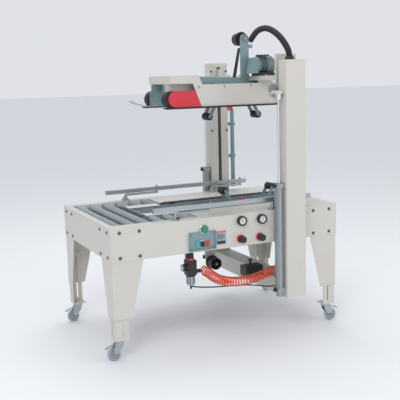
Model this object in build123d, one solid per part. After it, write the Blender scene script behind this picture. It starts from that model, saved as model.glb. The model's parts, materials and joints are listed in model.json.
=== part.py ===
"""Carton sealer with a pneumatic lifting head, top and bottom drive belts and tape heads.

Frame: origin on the floor under the middle of the bed, X along the conveyor towards the
outfeed, Y from the control side to the back, Z up. All sizes are in millimetres.
"""
from math import cos, pi, radians, sin, tan
import os

from build123d import *

# ---- overall sizes -------------------------------------------------------------------
BED_LENGTH = 1455.0
BED_WIDTH = 884.0
BED_HEIGHT = 750.0
PANEL_HEIGHT = 189.0
PANEL_FLANGE = 65.0
SHEET = 3.0

COLUMN_LENGTH = 130.0
COLUMN_DEPTH = 78.0
COLUMN_TOP = 1617.0
COLUMN_FOOT = 229.0
COLUMN_WALL = 4.0
COLUMN_STATION = 1118.0
COLUMN_SLOT = 24.0

HEAD_BELT_LINE = 1353.0
HEAD_HALF_WIDTH = 165.0
HEAD_START = 498.0
HEAD_END = 1340.0

# ---- rollers -------------------------------------------------------------------------
ROLLER_DIAMETER = 50.0
ROLLER_PITCH = 88.4
ROLLER_FIRST = 74.0
ROLLER_PROUD = 1.0
ROLLER_END_GAP = 4.0
ROLLER_AXLE = 12.0
FULL_ROLLERS = 3
SPLIT_ROLLERS = 3

# ---- legs and casters ----------------------------------------------------------------
LEG_TOP_FRONT = 187.0
LEG_FOOT_FRONT = 107.0
LEG_TOP_END = 174.0
LEG_FOOT_END = 91.0
LEG_COVER_FOOT = 238.0
INNER_LEG_WIDTH = 80.0
INNER_LEG_DEPTH = 72.0
INNER_LEG_TOP = 445.0
INNER_LEG_WALL = 4.0
CASTER_HEIGHT = 118.0
WHEEL_DIAMETER = 75.0
WHEEL_WIDTH = 25.0
CASTER_TRAIL = 38.0
CASTER_INSET = 48.0

# ---- belts ---------------------------------------------------------------------------
BELT_WIDTH = 50.0
BELT_THICKNESS = 4.0
PULLEY_RADIUS = 46.0
LOWER_BELT_OFFSET = 152.0
UPPER_BELT_OFFSET = 135.0
UNIT_HALF_WIDTH = 183.0
BELT_LINE_PROUD = 5.0
DRIVE_SHAFT = 20.0

# ---- tape heads ----------------------------------------------------------------------
TAPE_ROLLER_DIAMETER = 45.0
TAPE_ROLLER_LENGTH = 68.0
TAPE_ARM_REACH_X = 61.0
TAPE_ARM_REACH_Z = 112.0
TAPE_HOUSING_HALF = 44.0
HUB_DIAMETER = 88.0
HUB_WIDTH = 56.0

# ---- guides --------------------------------------------------------------------------
GUIDE_INSET = 40.0
GUIDE_STATIONS = (400.0, 1028.0)
GUIDE_ARM_LENGTH = 220.0
GUIDE_ARM_ROD = 14.0
RAIL_LENGTH = 1025.0
RAIL_START = 265.0
RAIL_WIDTH = 20.0
RAIL_BOTTOM = 797.0
RAIL_HEIGHT = 27.0

# ---- lift cylinders ------------------------------------------------------------------
CYLINDER_DIAMETER = 42.0
CYLINDER_FOOT = 262.0
CYLINDER_TOP = 912.0
CYLINDER_BORE = 30.0
ROD_DIAMETER = 16.0

# ---- clearances ----------------------------------------------------------------------
RUNNING = 0.05
FREE = 0.5
PIVOT_GAP = 0.3

# ---- worked out ----------------------------------------------------------------------
HALF_WIDTH = BED_WIDTH / 2
PANEL_BOTTOM = BED_HEIGHT - PANEL_HEIGHT
ROLLER_AXIS = BED_HEIGHT + ROLLER_PROUD - ROLLER_DIAMETER / 2
LIP_INSIDE = HALF_WIDTH - PANEL_FLANGE
BELT_OUTER = PULLEY_RADIUS + BELT_THICKNESS
LOWER_AXIS = BED_HEIGHT + BELT_LINE_PROUD - BELT_OUTER
UPPER_AXIS = HEAD_BELT_LINE + BELT_OUTER
DECK_TOP = HEAD_BELT_LINE + 134.0


def along(station):
    """X of a place measured from the infeed end of the bed."""
    return station - BED_LENGTH / 2


def block(x, y, z):
    """A box between two limits on each axis."""
    size = (x[1] - x[0], y[1] - y[0], z[1] - z[0])
    middle = ((x[0] + x[1]) / 2, (y[0] + y[1]) / 2, (z[0] + z[1]) / 2)
    return Pos(*middle) * Box(*size)


def bar_x(y, z, x, diameter):
    """A round bar along X."""
    turned = Rot(0, 90, 0) * Cylinder(diameter / 2, x[1] - x[0])
    return Pos((x[0] + x[1]) / 2, y, z) * turned


def bar_y(x, z, y, diameter):
    """A round bar along Y."""
    turned = Rot(90, 0, 0) * Cylinder(diameter / 2, y[1] - y[0])
    return Pos(x, (y[0] + y[1]) / 2, z) * turned


def bar_z(x, y, z, diameter):
    """A round bar along Z."""
    return Pos(x, y, (z[0] + z[1]) / 2) * Cylinder(diameter / 2, z[1] - z[0])


def plate_xz(points, y):
    """A flat plate with an outline in X and Z, between two Y limits."""
    outline = make_face(Polyline(*[(px, y[0], pz) for px, pz in points], close=True))
    return extrude(outline, amount=y[1] - y[0], dir=(0, 1, 0))


def plate_yz(points, x):
    """A flat plate with an outline in Y and Z, between two X limits."""
    outline = make_face(Polyline(*[(x[0], py, pz) for py, pz in points], close=True))
    return extrude(outline, amount=x[1] - x[0], dir=(1, 0, 0))


def across(shape):
    """The same piece on the other side of the machine's middle plane."""
    return mirror(shape, about=Plane.XZ)


def endwise(shape):
    """The same piece at the other end of the bed."""
    return mirror(shape, about=Plane.YZ)


def save(name, *pieces):
    """Write one node's solids as one STEP file."""
    solids = [solid for piece in pieces for solid in piece.solids()]
    export_step(Compound(children=solids), f"parts/{name}.step")
    volume = sum(solid.volume for solid in solids)
    print(f"{name}: {len(solids)} solids, {volume / 1000:.1f} cm3")


def roller_stations():
    """Stations of the conveyor rollers from the infeed end."""
    return [ROLLER_FIRST + ROLLER_PITCH * n for n in range(FULL_ROLLERS + SPLIT_ROLLERS)]


# ---- bed -----------------------------------------------------------------------------
def side_panel():
    """Front side panel: outer face, top flange with a turned-down lip, bottom flange."""
    ends = (along(0), along(BED_LENGTH))
    face = block(ends, (-HALF_WIDTH, -HALF_WIDTH + SHEET), (PANEL_BOTTOM, BED_HEIGHT))
    top_levels = (BED_HEIGHT - SHEET, BED_HEIGHT)
    flange = block(ends, (-HALF_WIDTH, -LIP_INSIDE), top_levels)
    lip_x = (ends[0] + 2 * SHEET, ends[1] - 2 * SHEET)
    lip = block(lip_x, (-LIP_INSIDE - SHEET, -LIP_INSIDE), (BED_HEIGHT - 60, BED_HEIGHT))
    between_legs = (along(LEG_TOP_FRONT + 20), along(BED_LENGTH - LEG_TOP_FRONT - 20))
    bottom_levels = (PANEL_BOTTOM, PANEL_BOTTOM + SHEET)
    bottom = block(between_legs, (-HALF_WIDTH, -HALF_WIDTH + 30), bottom_levels)
    panel = face + flange + lip + bottom
    for station in roller_stations():
        lip_range = (-LIP_INSIDE - 2 * SHEET, -LIP_INSIDE + SHEET)
        panel -= bar_y(along(station), ROLLER_AXIS, lip_range, ROLLER_AXLE + 2 * RUNNING)
    return panel


def end_panel():
    """Infeed end panel between the side panels, with a narrow top flange."""
    inside = HALF_WIDTH - SHEET
    x = (along(0), along(0) + SHEET)
    face = block(x, (-inside, inside), (PANEL_BOTTOM, BED_HEIGHT - SHEET))
    flange_y = (-LIP_INSIDE, LIP_INSIDE)
    top = block((along(0), along(0) + 35), flange_y, (BED_HEIGHT - SHEET, BED_HEIGHT))
    between_legs = (-inside + LEG_TOP_END + 20, inside - LEG_TOP_END - 20)
    bottom_levels = (PANEL_BOTTOM, PANEL_BOTTOM + SHEET)
    bottom = block((along(0), along(0) + 30), between_legs, bottom_levels)
    return face + top + bottom


def top_sheet(start, end, y_outer, y_inner):
    """One flat top sheet with its infeed and unit-side edges turned down."""
    flat = block((start, end), (y_outer, y_inner), (BED_HEIGHT - SHEET, BED_HEIGHT))
    fold = block((start, start + SHEET), (y_outer, y_inner), (BED_HEIGHT - 30, BED_HEIGHT))
    edge = block((start, end), (y_inner - SHEET, y_inner), (BED_HEIGHT - 40, BED_HEIGHT))
    return flat + fold + edge


def bed():
    """Panels and top sheets of the bed."""
    front = cut_panel_openings(side_panel())
    rear = across(side_panel())
    infeed = end_panel()
    save("bed_panels", front, rear, infeed, endwise(infeed))
    last_roller = roller_stations()[-1]
    start = along(last_roller + ROLLER_DIAMETER / 2 + 10)
    end = along(BED_LENGTH - 35)
    near = top_sheet(start, end, -LIP_INSIDE, -UNIT_HALF_WIDTH)
    save("top_sheets", near, across(near))


# ---- legs ----------------------------------------------------------------------------
def leg_cover():
    """Tapered L-shaped cover of the infeed front leg, bolted inside the panels."""
    x0 = along(0) + SHEET
    y0 = -HALF_WIDTH + SHEET
    top = BED_HEIGHT - SHEET - 7
    shoulder = PANEL_BOTTOM + 14
    front = [
        (x0, top), (x0 + LEG_TOP_FRONT, top), (x0 + LEG_TOP_FRONT, shoulder),
        (x0 + LEG_FOOT_FRONT, LEG_COVER_FOOT), (x0, LEG_COVER_FOOT),
    ]
    side = [
        (y0, top), (y0 + LEG_TOP_END, top), (y0 + LEG_TOP_END, shoulder),
        (y0 + LEG_FOOT_END, LEG_COVER_FOOT), (y0, LEG_COVER_FOOT),
    ]
    return plate_xz(front, (y0, y0 + SHEET)) + plate_yz(side, (x0, x0 + SHEET))


def inner_leg():
    """Telescoping inner leg: slotted angle with a foot plate for the caster."""
    gap = 1.5
    x0 = along(0) + 2 * SHEET + gap
    y0 = -HALF_WIDTH + 2 * SHEET + gap
    levels = (CASTER_HEIGHT, INNER_LEG_TOP)
    front = block((x0, x0 + INNER_LEG_WIDTH), (y0, y0 + INNER_LEG_WALL), levels)
    side = block((x0, x0 + INNER_LEG_WALL), (y0, y0 + INNER_LEG_DEPTH), levels)
    foot_levels = (CASTER_HEIGHT, CASTER_HEIGHT + 5)
    foot = block((x0, x0 + INNER_LEG_WIDTH), (y0, y0 + INNER_LEG_DEPTH), foot_levels)
    slot_x = x0 + INNER_LEG_WIDTH * 0.6
    slot_y = (y0 - 1, y0 + INNER_LEG_WALL + 1)
    slot = block((slot_x - 4.5, slot_x + 4.5), slot_y, (CASTER_HEIGHT + 25, INNER_LEG_TOP - 30))
    side_slot_y = y0 + INNER_LEG_DEPTH * 0.6
    side_slot_x = (x0 - 1, x0 + INNER_LEG_WALL + 1)
    side_levels = (CASTER_HEIGHT + 25, INNER_LEG_TOP - 30)
    side_slot = block(side_slot_x, (side_slot_y - 4.5, side_slot_y + 4.5), side_levels)
    return front + side + foot - slot - side_slot


def at_corners(shape):
    """The infeed front piece repeated at all four corners, in a fixed order."""
    return {
        "infeed_front": shape,
        "outfeed_front": endwise(shape),
        "infeed_rear": across(shape),
        "outfeed_rear": endwise(across(shape)),
    }


def caster_fork(x, y):
    """Swivel fork with its king-pin plate, cheeks, wheel axle and brake lever."""
    wheel_x = x - CASTER_TRAIL
    wheel_z = WHEEL_DIAMETER / 2
    cheek = WHEEL_WIDTH / 2 + 2
    top = bar_z(x, y, (CASTER_HEIGHT - 14, CASTER_HEIGHT - PIVOT_GAP), 50)
    crown_levels = (CASTER_HEIGHT - 22, CASTER_HEIGHT - 14)
    crown = block((x - 30, x + 16), (y - cheek - 3, y + cheek + 3), crown_levels)
    fork = top + crown
    outline = [
        (x - 30, CASTER_HEIGHT - 14), (x + 16, CASTER_HEIGHT - 14), (x + 12, 78),
        (wheel_x + 12, wheel_z - 10), (wheel_x - 12, wheel_z - 10), (wheel_x - 12, wheel_z + 8),
    ]
    for side in (-1, 1):
        inner = y + side * cheek
        outer = y + side * (cheek + 3)
        fork += plate_xz(outline, (min(inner, outer), max(inner, outer)))
    axle_y = (y - cheek - 6, y + cheek + 6)
    fork += bar_y(wheel_x, wheel_z, axle_y, 8)
    lever = [
        (x - 26, CASTER_HEIGHT - 22), (x - 62, CASTER_HEIGHT - 34), (x - 88, CASTER_HEIGHT - 44),
        (x - 88, CASTER_HEIGHT - 49), (x - 60, CASTER_HEIGHT - 38), (x - 26, CASTER_HEIGHT - 27),
    ]
    return fork + plate_xz(lever, (y - 9, y + 9))


def caster_wheel(x, y):
    """Wheel with a rounded tread, bored to run on the fork's axle."""
    wheel_x = x - CASTER_TRAIL
    wheel_z = WHEEL_DIAMETER / 2
    half = WHEEL_WIDTH / 2
    tread = bar_y(wheel_x, wheel_z, (y - half, y + half), WHEEL_DIAMETER)
    tread = fillet(tread.edges().filter_by(GeomType.CIRCLE), 5)
    return tread - bar_y(wheel_x, wheel_z, (y - half - 1, y + half + 1), 8 + 2 * RUNNING)


def legs():
    """Leg covers, inner legs and the four swivel casters."""
    save("leg_covers", *at_corners(leg_cover()).values())
    save("inner_legs", *at_corners(inner_leg()).values())
    x = along(CASTER_INSET)
    y = -HALF_WIDTH + CASTER_INSET
    for corner, fork in at_corners(caster_fork(x, y)).items():
        save(f"caster_fork_{corner}", fork)
    for corner, wheel in at_corners(caster_wheel(x, y)).items():
        save(f"caster_wheel_{corner}", wheel)


# ---- rollers -------------------------------------------------------------------------
def roller(x, y_from, y_to, axle_from, axle_to):
    """Steel roller tube closed by end bearings, with its axle ends."""
    tube = bar_y(x, ROLLER_AXIS, (y_from, y_to), ROLLER_DIAMETER)
    tube = fillet(tube.edges().filter_by(GeomType.CIRCLE), 2)
    return tube + bar_y(x, ROLLER_AXIS, (axle_from, axle_to), ROLLER_AXLE)


def rollers():
    """Full-width infeed rollers, then rows of short rollers beside the belt unit."""
    end = LIP_INSIDE - ROLLER_END_GAP
    axle_end = LIP_INSIDE + SHEET
    for row, station in enumerate(roller_stations(), start=1):
        x = along(station)
        if row <= FULL_ROLLERS:
            save(f"roller_{row}", roller(x, -end, end, -axle_end, axle_end))
            continue
        inner = UNIT_HALF_WIDTH + ROLLER_END_GAP
        short = roller(x, -end, -inner, -axle_end, -UNIT_HALF_WIDTH)
        save(f"roller_pair_{row}", short, across(short))


# ---- columns and lift ----------------------------------------------------------------
COLUMN_X = along(COLUMN_STATION)
COLUMN_MIDDLE_Y = HALF_WIDTH + COLUMN_DEPTH / 2
CONDUIT_DIAMETER = 36.0
CYLINDER_X = COLUMN_X - COLUMN_LENGTH / 2 - 5 - CYLINDER_DIAMETER / 2
SLOT_FOOT = BED_HEIGHT + 30


def column():
    """Front column: square tube with a slot towards the head and a closed top."""
    x = (COLUMN_X - COLUMN_LENGTH / 2, COLUMN_X + COLUMN_LENGTH / 2)
    y = (-HALF_WIDTH - COLUMN_DEPTH, -HALF_WIDTH)
    wall = COLUMN_WALL
    tube = block(x, y, (COLUMN_FOOT, COLUMN_TOP))
    hollow_x = (x[0] + wall, x[1] - wall)
    hollow_y = (y[0] + wall, y[1] - wall)
    tube -= block(hollow_x, hollow_y, (COLUMN_FOOT - 1, COLUMN_TOP - wall))
    slot_x = (COLUMN_X - COLUMN_SLOT / 2, COLUMN_X + COLUMN_SLOT / 2)
    slot_y = (-HALF_WIDTH - 2 * wall, -HALF_WIDTH + 1)
    return tube - block(slot_x, slot_y, (SLOT_FOOT, COLUMN_TOP - 12))


def column_frame():
    """Both columns and the wide channel that ties their feet under the bed."""
    front = column()
    rear = across(column())
    conduit_y = -COLUMN_MIDDLE_Y + 4
    top = (COLUMN_TOP - 20, COLUMN_TOP + 1)
    front -= bar_z(COLUMN_X - 13, conduit_y, top, CONDUIT_DIAMETER + 2 * FREE)
    x = (COLUMN_X - COLUMN_LENGTH / 2 + 5, COLUMN_X + COLUMN_LENGTH / 2 - 5)
    y = (-HALF_WIDTH, HALF_WIDTH)
    beam = block(x, y, (COLUMN_FOOT - 4, COLUMN_FOOT + 96))
    inside_x = (x[0] + 4, x[1] - 4)
    beam -= block(inside_x, (y[0] - 1, y[1] + 1), (COLUMN_FOOT - 5, COLUMN_FOOT + 92))
    save("column_frame", front, rear, beam)


def lift_cylinder():
    """Front pneumatic cylinder: bored barrel with square caps on a foot bracket."""
    y = -COLUMN_MIDDLE_Y + 3
    barrel = bar_z(CYLINDER_X, y, (CYLINDER_FOOT, CYLINDER_TOP), CYLINDER_DIAMETER)
    cap = 23
    square_x = (CYLINDER_X - cap, CYLINDER_X + cap)
    square_y = (y - cap, y + cap)
    lower_cap = block(square_x, square_y, (CYLINDER_FOOT, CYLINDER_FOOT + 28))
    upper_cap = block(square_x, square_y, (CYLINDER_TOP - 27, CYLINDER_TOP))
    body = barrel + lower_cap + upper_cap
    bore = (CYLINDER_FOOT + 35, CYLINDER_TOP - 22)
    body -= bar_z(CYLINDER_X, y, bore, CYLINDER_BORE)
    passage = (CYLINDER_TOP - 23, CYLINDER_TOP + 1)
    body -= bar_z(CYLINDER_X, y, passage, ROD_DIAMETER + 2 * RUNNING)
    column_side = COLUMN_X - COLUMN_LENGTH / 2
    foot = block((CYLINDER_X - 16, column_side), (y - 16, y + 16), (CYLINDER_FOOT - 26, CYLINDER_FOOT))
    return body + foot


def lift():
    """The two lift cylinders beside the columns."""
    save("lift_cylinders", lift_cylinder(), across(lift_cylinder()))


# ---- belts ---------------------------------------------------------------------------
def belt(front_x, rear_x, axis_z, y_middle):
    """Flat belt loop round a front pulley and a drive pulley."""
    def stadium(radius, grow):
        y = (y_middle - BELT_WIDTH / 2 - grow, y_middle + BELT_WIDTH / 2 + grow)
        run = block((front_x, rear_x), y, (axis_z - radius, axis_z + radius))
        run += bar_y(front_x, axis_z, y, 2 * radius)
        return run + bar_y(rear_x, axis_z, y, 2 * radius)
    return stadium(BELT_OUTER, 0) - stadium(PULLEY_RADIUS, 1)


def pulley(x, axis_z, y_middle):
    """Drum pulley, a little narrower than its belt."""
    half = BELT_WIDTH / 2 - 1
    drum = bar_y(x, axis_z, (y_middle - half, y_middle + half), 2 * PULLEY_RADIUS - 0.6)
    return fillet(drum.edges().filter_by(GeomType.CIRCLE), 1.5)


def drive_shaft(x, axis_z, offset, half_length):
    """Drive shaft across the unit with a drum pulley for each belt."""
    shaft = bar_y(x, axis_z, (-half_length, half_length), DRIVE_SHAFT)
    return shaft + pulley(x, axis_z, -offset) + pulley(x, axis_z, offset)


def tape_housing(front, rear, low, high):
    """One cheek plate of a tape head, with round pivot bosses left plain."""
    y = (-TAPE_HOUSING_HALF, -TAPE_HOUSING_HALF + 3)
    return block((along(front), along(rear)), y, (low, high))


UNIT_DEPTH = 110.0
UNIT_FLOOR = 6.0
UNIT_FLOOR_STATIONS = (860.0, 1290.0)
LOWER_CHEEK = (845.0, 1305.0)
HUB_STATION = 835.0
HUB_SPINDLE = 14.0
HUB_BRACKET = (790.0, 880.0)
LOWER_HUB_Z = 360.0
UPPER_HUB_X = along(1040.0)
UPPER_HUB_Z = 1754.0
MAST_Y = -68.0
NOSE = 293.0
NOSE_ROLLER = 28.0
LOWER_FRONT = 575.0
LOWER_REAR = 1370.0
UPPER_FRONT = 510.0
UPPER_REAR = 1280.0
LOWER_TAPE_PIVOTS = ((968.0, 709.0), (1189.0, 709.0))
UPPER_TAPE_PIVOTS = ((870.0, 1402.0), (1090.0, 1402.0))


def lower_unit():
    """Lower belt unit: frame plates, slider bars, nose, tape cheeks, hub bracket."""
    inner = LOWER_BELT_OFFSET - BELT_WIDTH / 2 - 5
    outer = UNIT_HALF_WIDTH
    levels = (BED_HEIGHT - UNIT_DEPTH, BED_HEIGHT - 4)
    end = along(BED_LENGTH - 25)
    hole = DRIVE_SHAFT + 2 * RUNNING
    shaft_x = along(LOWER_REAR)
    pieces = []
    for start, near, far in ((NOSE - 10, -outer, -outer + 3), (NOSE + 26, -inner - 3, -inner)):
        plate = block((along(start), end), (near, far), levels)
        plate -= bar_y(shaft_x, LOWER_AXIS, (near - 1, far + 1), hole)
        pieces += [plate, across(plate)]
    slider_x = (along(LOWER_FRONT) + 55, shaft_x - 60)
    top = BED_HEIGHT + BELT_LINE_PROUD - BELT_THICKNESS - 0.5
    slider = block(slider_x, (-outer + 3, -inner - 3), (top - 8, top))
    pieces += [slider, across(slider)]
    front_x = along(LOWER_FRONT)
    axle = bar_y(front_x, LOWER_AXIS, (-outer + 3, -inner - 3), 16)
    drum = pulley(front_x, LOWER_AXIS, -LOWER_BELT_OFFSET) + axle
    pieces += [drum, across(drum)]
    nose_levels = (BED_HEIGHT - 4, BED_HEIGHT - 1)
    nose_end = front_x - BELT_OUTER - 4
    nose = block((along(NOSE + 19), nose_end), (-outer, -inner + 12), nose_levels)
    nose_roller = bar_y(along(NOSE), BED_HEIGHT - 12, (-outer + 3, outer - 3), NOSE_ROLLER)
    tie_levels = (BED_HEIGHT - UNIT_DEPTH + 10, BED_HEIGHT - 4)
    tie = block((along(NOSE + 22), along(NOSE + 26)), (-inner, inner), tie_levels)
    pieces += [nose, across(nose), nose_roller, tie]
    cross_levels = (BED_HEIGHT - UNIT_DEPTH, BED_HEIGHT - UNIT_DEPTH + UNIT_FLOOR)
    for station in UNIT_FLOOR_STATIONS:
        x = (along(station) - 15, along(station) + 15)
        pieces.append(block(x, (-inner, inner), cross_levels))
    cheek = tape_housing(*LOWER_CHEEK, cross_levels[1], BED_HEIGHT - 5)
    for station, level in LOWER_TAPE_PIVOTS:
        pin_y = (-TAPE_HOUSING_HALF - 1, -TAPE_HOUSING_HALF + 4)
        cheek -= bar_y(along(station), level, pin_y, 14 + 2 * RUNNING)
    pieces += [cheek, across(cheek)]
    hub_x = along(HUB_STATION)
    bracket_x = (along(HUB_BRACKET[0]), along(HUB_BRACKET[1]))
    bracket_y = (TAPE_HOUSING_HALF + 15, TAPE_HOUSING_HALF + 20)
    arm = [
        (hub_x - 30, LOWER_HUB_Z - 20), (hub_x + 30, LOWER_HUB_Z - 20),
        (bracket_x[1], cross_levels[0]), (bracket_x[0], cross_levels[0]),
    ]
    pieces.append(plate_xz(arm, bracket_y))
    rest = block(bracket_x, (-inner, inner), cross_levels)
    pieces[-1] -= bar_y(hub_x, LOWER_HUB_Z, (bracket_y[0] - 1, bracket_y[1] + 1), HUB_SPINDLE)
    spindle_y = (-HUB_WIDTH / 2 - 8, bracket_y[1] + 6)
    spindle = bar_y(hub_x, LOWER_HUB_Z, spindle_y, HUB_SPINDLE)
    pieces += [rest, spindle]
    save("lower_belt_unit", *pieces)
    belt_pair = belt(front_x, shaft_x, LOWER_AXIS, -LOWER_BELT_OFFSET)
    save("lower_belts", belt_pair, across(belt_pair))
    save("lower_drive_shaft", drive_shaft(shaft_x, LOWER_AXIS, LOWER_BELT_OFFSET, outer))




def tape_arm(pivot_station, pivot_z, direction_x, direction_z):
    """Swinging arm of a tape head: pivot pin, two cheeks and the roller's axle."""
    x = along(pivot_station)
    roller_x = x + direction_x * TAPE_ARM_REACH_X
    roller_z = pivot_z + direction_z * TAPE_ARM_REACH_Z
    half = TAPE_ROLLER_LENGTH / 2 + 2
    arm = bar_y(x, pivot_z, (-TAPE_HOUSING_HALF, TAPE_HOUSING_HALF), 14)
    arm += bar_y(roller_x, roller_z, (-half - 4, half + 4), 10)
    reach = (TAPE_ARM_REACH_X ** 2 + TAPE_ARM_REACH_Z ** 2) ** 0.5
    across_x = 11 * TAPE_ARM_REACH_Z / reach
    across_z = 11 * direction_x * direction_z * TAPE_ARM_REACH_X / reach
    strip = [
        (x - across_x, pivot_z + across_z), (x + across_x, pivot_z - across_z),
        (roller_x + across_x, roller_z - across_z), (roller_x - across_x, roller_z + across_z),
    ]
    for y in ((-half - 3, -half), (half, half + 3)):
        arm += plate_xz(strip, y)
        arm += bar_y(x, pivot_z, y, 24)
        arm += bar_y(roller_x, roller_z, y, 22)
    return arm


def tape_roller(pivot_station, pivot_z, direction_x, direction_z):
    """Rubber roller that runs on a tape arm's axle."""
    x = along(pivot_station) + direction_x * TAPE_ARM_REACH_X
    z = pivot_z + direction_z * TAPE_ARM_REACH_Z
    half = TAPE_ROLLER_LENGTH / 2
    tyre = bar_y(x, z, (-half, half), TAPE_ROLLER_DIAMETER)
    tyre = fillet(tyre.edges().filter_by(GeomType.CIRCLE), 2)
    return tyre - bar_y(x, z, (-half - 1, half + 1), 10 + 2 * RUNNING)


def tape_hub(x, z):
    """Spoked drum that holds the tape's core, with a flange towards its bracket."""
    half = HUB_WIDTH / 2
    drum = bar_y(x, z, (-half, half), HUB_DIAMETER - 12)
    drum -= bar_y(x, z, (-half - 1, half + 1), HUB_DIAMETER - 22)
    drum += bar_y(x, z, (-half, half), 26)
    for turn in range(6):
        spoke = Pos(HUB_DIAMETER / 4 - 2, 0, 0) * Box(HUB_DIAMETER / 2 - 14, HUB_WIDTH, 5)
        drum += Pos(x, 0, z) * Rot(0, turn * 60, 0) * spoke
    flange = bar_y(x, z, (-half - 4, -half), HUB_DIAMETER)
    drum += flange
    return drum - bar_y(x, z, (-half - 5, half + 1), HUB_SPINDLE + 2 * RUNNING)


def tape_heads():
    """Front and rear arms and rollers of both tape heads, and the two core hubs."""
    for name, pivots, up in (("lower", LOWER_TAPE_PIVOTS, 1), ("upper", UPPER_TAPE_PIVOTS, -1)):
        for place, (station, level), lean in zip(("front", "rear"), pivots, (-1, 1)):
            save(f"{name}_{place}_tape_arm", tape_arm(station, level, lean, up))
            save(f"{name}_{place}_tape_roller", tape_roller(station, level, lean, up))
    save("lower_tape_hub", across(tape_hub(along(HUB_STATION), LOWER_HUB_Z)))
    save("upper_tape_hub", tape_hub(UPPER_HUB_X, UPPER_HUB_Z))


# ---- head ----------------------------------------------------------------------------
BELT_GUARD_GAP = 2.0
COVER_END = 678.0
COVER_RISE = 54.0
PLATE_FRONT = 488.0
BEAM_STATIONS = (1000.0, 1045.0, 1200.0, 1240.0)
BEAM_FRONT = 48.0
BEAM_REAR = 34.0
MAST_WIDTH = 58.0
BRACE_RISE = 212.0
UPPER_CHEEK = (780.0, 1195.0)
UPPER_TIE = (940.0, 980.0)
KNIFE_STATION = 950.0
GUARD_HEIGHT = 94.0
MOTOR_STATIONS = (1062.0, 1182.0)
MOTOR_Y = -150.0
MOTOR_DIAMETER = 96.0
MOTOR_RIBS = 9
MOTOR_RIB_PITCH = 12.0
CARRIAGE_RISE = 299.0
RAIL_NOSE = (446.0, 470.0)
SKI_PROFILE = (
    (308.0, 46.0), (311.0, 48.0), (345.0, 32.0), (420.0, 15.0), (560.0, 15.0), (560.0, 12.0),
    (420.0, 12.0), (344.0, 29.0),
)
SKI_HANGER = (530.0, 536.0)
HEAD_STEP = 700.0
GUARD_FOOT = 694.0
CROSS_LOW = DECK_TOP + 15
CROSS_HIGH = DECK_TOP + 43
CROSS_STATIONS = (1072.0, 1190.0)
CARRIAGE_Y = (-HALF_WIDTH + 30, -HALF_WIDTH + 42)
ROD_BOSS = 50.0
UPPER_INNER = UPPER_BELT_OFFSET - BELT_WIDTH / 2 - 4


def head_covers():
    """Side sheets, raised front cover box, top deck and rear closing sheet."""
    outer = HEAD_HALF_WIDTH
    line = HEAD_BELT_LINE
    end = along(HEAD_END)
    step = along(HEAD_STEP)
    cover_top = DECK_TOP + COVER_RISE
    shelf = DECK_TOP + 10
    outline = [
        (along(HEAD_START), cover_top), (along(COVER_END), cover_top), (step, DECK_TOP),
        (end, DECK_TOP), (end, line + 7), (along(GUARD_FOOT + 1), line + 7),
        (along(GUARD_FOOT - 55), shelf - 2), (along(HEAD_START), shelf),
    ]
    side = plate_xz(outline, (-outer, -outer + SHEET))
    inside = (-outer + SHEET, outer - SHEET)
    top = block((along(HEAD_START), along(COVER_END)), inside, (cover_top - SHEET, cover_top))
    nose_levels = (shelf, cover_top - SHEET)
    nose = block((along(HEAD_START), along(HEAD_START) + SHEET), inside, nose_levels)
    floor = block((along(HEAD_START), step), inside, (shelf - SHEET, shelf))
    deck = block((step, end - SHEET), inside, (DECK_TOP - SHEET, DECK_TOP))
    closing = block((end - SHEET, end), inside, (line + 9, DECK_TOP))
    step_sheet = [
        (along(COVER_END - SHEET), cover_top - SHEET), (along(COVER_END), cover_top - SHEET),
        (step, shelf), (step - SHEET, shelf),
    ]
    slope = plate_xz(step_sheet, inside)
    save("head_covers", side, across(side), top + nose, floor, deck, closing, slope)


def head_mast():
    """Tapered beams on the deck, tape mast with a rounded head, its brace and spindle."""
    base = DECK_TOP
    beam = [
        (along(HEAD_STEP + 3), base), (along(HEAD_STEP + 3), base + BEAM_FRONT),
        (along(BEAM_STATIONS[0]), base + BEAM_REAR),
        (along(BEAM_STATIONS[1]), CROSS_LOW), (along(BEAM_STATIONS[2]), CROSS_LOW),
        (along(BEAM_STATIONS[3]), base),
    ]
    near = plate_xz(beam, (MAST_Y - 4, MAST_Y))
    radius = MAST_WIDTH / 2
    y = (MAST_Y, MAST_Y + 6)
    mast = block((UPPER_HUB_X - radius, UPPER_HUB_X + radius), y, (base, UPPER_HUB_Z))
    mast += bar_y(UPPER_HUB_X, UPPER_HUB_Z, y, 2 * radius)
    spindle_y = (MAST_Y - 8, HUB_WIDTH / 2 + 8)
    mast -= bar_y(UPPER_HUB_X, UPPER_HUB_Z, (y[0] - 1, y[1] + 1), HUB_SPINDLE)
    spindle = bar_y(UPPER_HUB_X, UPPER_HUB_Z, spindle_y, HUB_SPINDLE)
    spindle += bar_y(UPPER_HUB_X, UPPER_HUB_Z, (MAST_Y - 8, MAST_Y), 26)
    left = UPPER_HUB_X - radius
    brace = [
        (left - 60, base), (left - 38, base), (left + 4, base + BRACE_RISE),
        (left - 14, base + BRACE_RISE),
    ]
    strut = plate_xz(brace, (MAST_Y + 6, MAST_Y + 10))
    clip = block((UPPER_HUB_X + radius, UPPER_HUB_X + radius + 26), y,
                 (UPPER_HUB_Z - 56, UPPER_HUB_Z - 34))
    save("head_mast", near, across(near), mast, spindle, strut, clip)


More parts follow.
